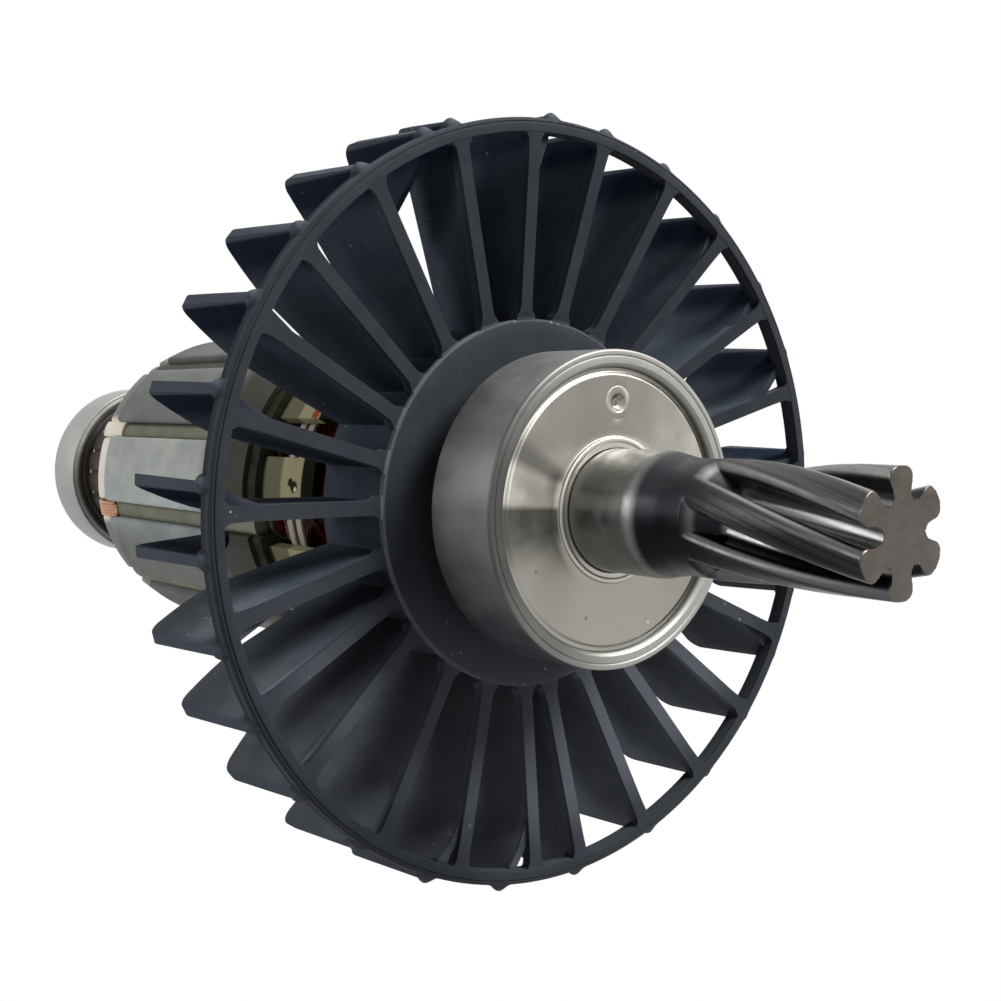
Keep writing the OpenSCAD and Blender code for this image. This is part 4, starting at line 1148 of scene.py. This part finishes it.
def commutator_body():
    """Banding rings, and the moulding that also fills the gaps to a little below the bars' faces."""
    bm = bmesh.new()
    for x in (BAR_REAR_X - BANDING_T, BAR_FRONT_X):
        ring = [(BAR_IN_R, x), (COMM_R - 0.5, x), (COMM_R - 0.5, x + BANDING_T), (BAR_IN_R, x + BANDING_T)]
        lathe_into(bm, rounded(ring, 0.25), steps=128)
    piece("banding_rings", bm, BANDING, "rotor", "glass_banding", "commutator_rings")

    bm = bmesh.new()
    rear, front = MOULDING_X
    hub = [(SHAFT_COMM_R, rear + 0.1), (9.4, rear, 0.4), (9.8, rear + 0.5, 0.3), (BAR_IN_R, rear, 0.3),
           (BAR_IN_R, front, 0.3), (9.8, front - 0.4, 0.3), (9.4, front, 0.3), (SHAFT_COMM_R, front)]
    lathe_into(bm, rounded(hub, 0.1), steps=128)
    fill = [(10.8, -0.36), (13.45, -0.29), (13.3, 0.0), (13.45, 0.29), (10.8, 0.36)]
    for k in range(BAR_COUNT):
        prism_into(bm, fill, BAR_REAR_X + 0.2, BAR_FRONT_X - 0.2, place=turned_about_x(k * BAR_PITCH))
    piece("commutator_moulding", bm, PHENOLIC, "rotor", "phenolic", "commutator_hub", smooth_deg=40)


# Rear bearing

def rear_bearing():
    """Outer ring of the rear bearing and its two seals with their pressed grooves."""
    profile = bearing_ring_profile(REAR_R, REAR_HALF, REAR_SEAT_R, REAR_LAND_R, REAR_STEP, 0.5)
    turned_piece("rear_outer_ring", [(r, REAR_MID_X + x) for r, x in profile], 192, REAR_STEEL,
                 "rear_outer", "bearing_steel", "rear_bearing_outer_ring")
    bm = bmesh.new()
    seal_r = REAR_INNER_R + 0.35
    seal = [(seal_r, SEAL_T), (seal_r, 0.25, 0.2), (10.9, 0.2, 0.2), (11.2, 0.42, 0.15),
            (11.6, 0.42, 0.15), (11.9, 0.1, 0.2), (13.4, 0.1, 0.2), (13.7, 0.3, 0.15),
            (13.95, 0.02, 0.15), (REAR_SEAT_R, 0.0, 0.15), (REAR_SEAT_R, SEAL_T)]
    for side in (1, -1):
        face = REAR_MID_X + side * (REAR_HALF - 0.4)
        lathe_into(bm, rounded([(r, face - side * back, *rest) for r, back, *rest in seal], 0.1))
    piece("rear_seal_pair", bm, RUBBER, "rear_outer", "seal_rubber", "rear_bearing_seals")


# Camera, light and floor

# Camera place and axes come from the fitted circles of ring, bearings and core
CAMERA_AT = (142.887, -125.88, 8.259)
CAMERA_RIGHT = (0.61586, 0.78722, 0.03165)
CAMERA_DOWN = (0.05132, 0.0, -0.99868)
CAMERA_FORWARD = (-0.78619, 0.61667, -0.0404)
FOCAL_SHARE = 1.49045
SENSOR = 36.0

# Lamps and floor, in metres and watts
LAMP_TARGET = (-0.04, 0.0, 0.0)
LAMPS = (("key", (0.55, 0.4, 0.7), (0.5, 0.5), 17.0),
         ("side", (-0.6, -1.05, 0.25), (0.6, 0.6), 6.0),
         ("top", (-0.05, 0.1, 1.1), (0.9, 0.5), 2.5))
FLOOR_Z = -0.3
FLOOR_HALF = 4.0


def camera():
    data = bpy.data.cameras.new("camera")
    data.sensor_width = SENSOR
    data.lens = SENSOR * FOCAL_SHARE
    data.clip_start = 0.005
    data.clip_end = 20.0
    obj = bpy.data.objects.new("camera", data)
    axes = Matrix([Vector(axis).normalized() for axis in (CAMERA_RIGHT, CAMERA_DOWN, CAMERA_FORWARD)])
    axes = Matrix((axes[0], -axes[1], -axes[2])).transposed()
    obj.matrix_world = Matrix.Translation([c * MM for c in CAMERA_AT]) @ axes.to_4x4()
    bpy.context.scene.collection.objects.link(obj)
    bpy.context.scene.camera = obj


def area_lamp(name, at, size, power):
    data = bpy.data.lights.new(name, "AREA")
    data.shape = "RECTANGLE"
    data.size, data.size_y = size
    data.energy = power
    obj = bpy.data.objects.new(name, data)
    obj.location = at
    obj.rotation_euler = (Vector(LAMP_TARGET) - Vector(at)).to_track_quat("-Z", "Y").to_euler()
    bpy.context.scene.collection.objects.link(obj)


def studio_world():
    """Soft bluish light on the object, plain white behind it."""
    world = bpy.data.worlds.new("studio")
    bpy.context.scene.world = world
    world.use_nodes = True
    world.node_tree.nodes.clear()
    sh = Shader(world.node_tree)
    soft = sh.add("Background", {"Color": (0.95, 0.97, 1.0), "Strength": 0.22}, "Background")
    white = sh.add("Background", {"Color": (1, 1, 1), "Strength": 1.0}, "Background")
    blend = sh.add("MixShader", {"Fac": sh.seen_or_mirrored(), 1: soft, 2: white}, "Shader")
    out = world.node_tree.nodes.new("ShaderNodeOutputWorld")
    sh.feed(out.inputs["Surface"], blend)


def floor():
    """A grey floor that keeps the object's shadow near it and is seen white further out."""
    mat, sh = new_material("floor_white")
    sh.tree.nodes.remove(sh.tree.nodes["Principled BSDF"])
    grey = sh.add("BsdfDiffuse", {"Color": (0.4, 0.4, 0.4)}, "BSDF")
    glow = sh.add("Emission", {"Color": (1, 1, 1), "Strength": 1.0}, "Emission")
    distance = sh.add("VectorMath", {0: sh.place}, "Value", operation="LENGTH")
    white = sh.times(sh.seen_or_mirrored(), sh.span(distance, 0.72, 1.0, 100.0, 520.0))
    blend = sh.add("MixShader", {"Fac": white, 1: grey, 2: glow}, "Shader")
    sh.feed(sh.tree.nodes["Material Output"].inputs["Surface"], blend)
    bm = bmesh.new()
    half = FLOOR_HALF / MM
    bm.faces.new([bm.verts.new((x * half, y * half, 0.0)) for x, y in ((-1, -1), (1, -1), (1, 1), (-1, 1))])
    obj = make_object("floor", bm, mat)
    obj.location.z = FLOOR_Z


def carried_over():
    """Materials for the CAD nodes that stay as they are."""
    looks = {
        "front_bearing_inner_ring": BEARING_STEEL, "front_bearing_balls": BALL_STEEL,
        "front_bearing_cage": NYLON, "front_spacer": BEARING_STEEL, "shaft_sleeve": PHENOLIC,
        "slot_liners": PAPER, "rear_spacer": BEARING_STEEL, "rear_bearing_inner_ring": BEARING_STEEL,
        "rear_bearing_balls": BALL_STEEL, "rear_bearing_cage": NYLON}
    for node_name, mat in looks.items():
        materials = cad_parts[node_name].data.materials
        materials.clear()
        materials.append(mat)


bpy.context.scene.view_settings.view_transform = "Standard"
camera()
studio_world()
for lamp in LAMPS:
    area_lamp(*lamp)
floor()
front_outer()
shaft()
fan()
core()
rear_insulator()
front_insulator()
winding()
bare_wires()
lead_wires()
commutator_bars()
commutator_body()
cords()
rear_bearing()
carried_over()
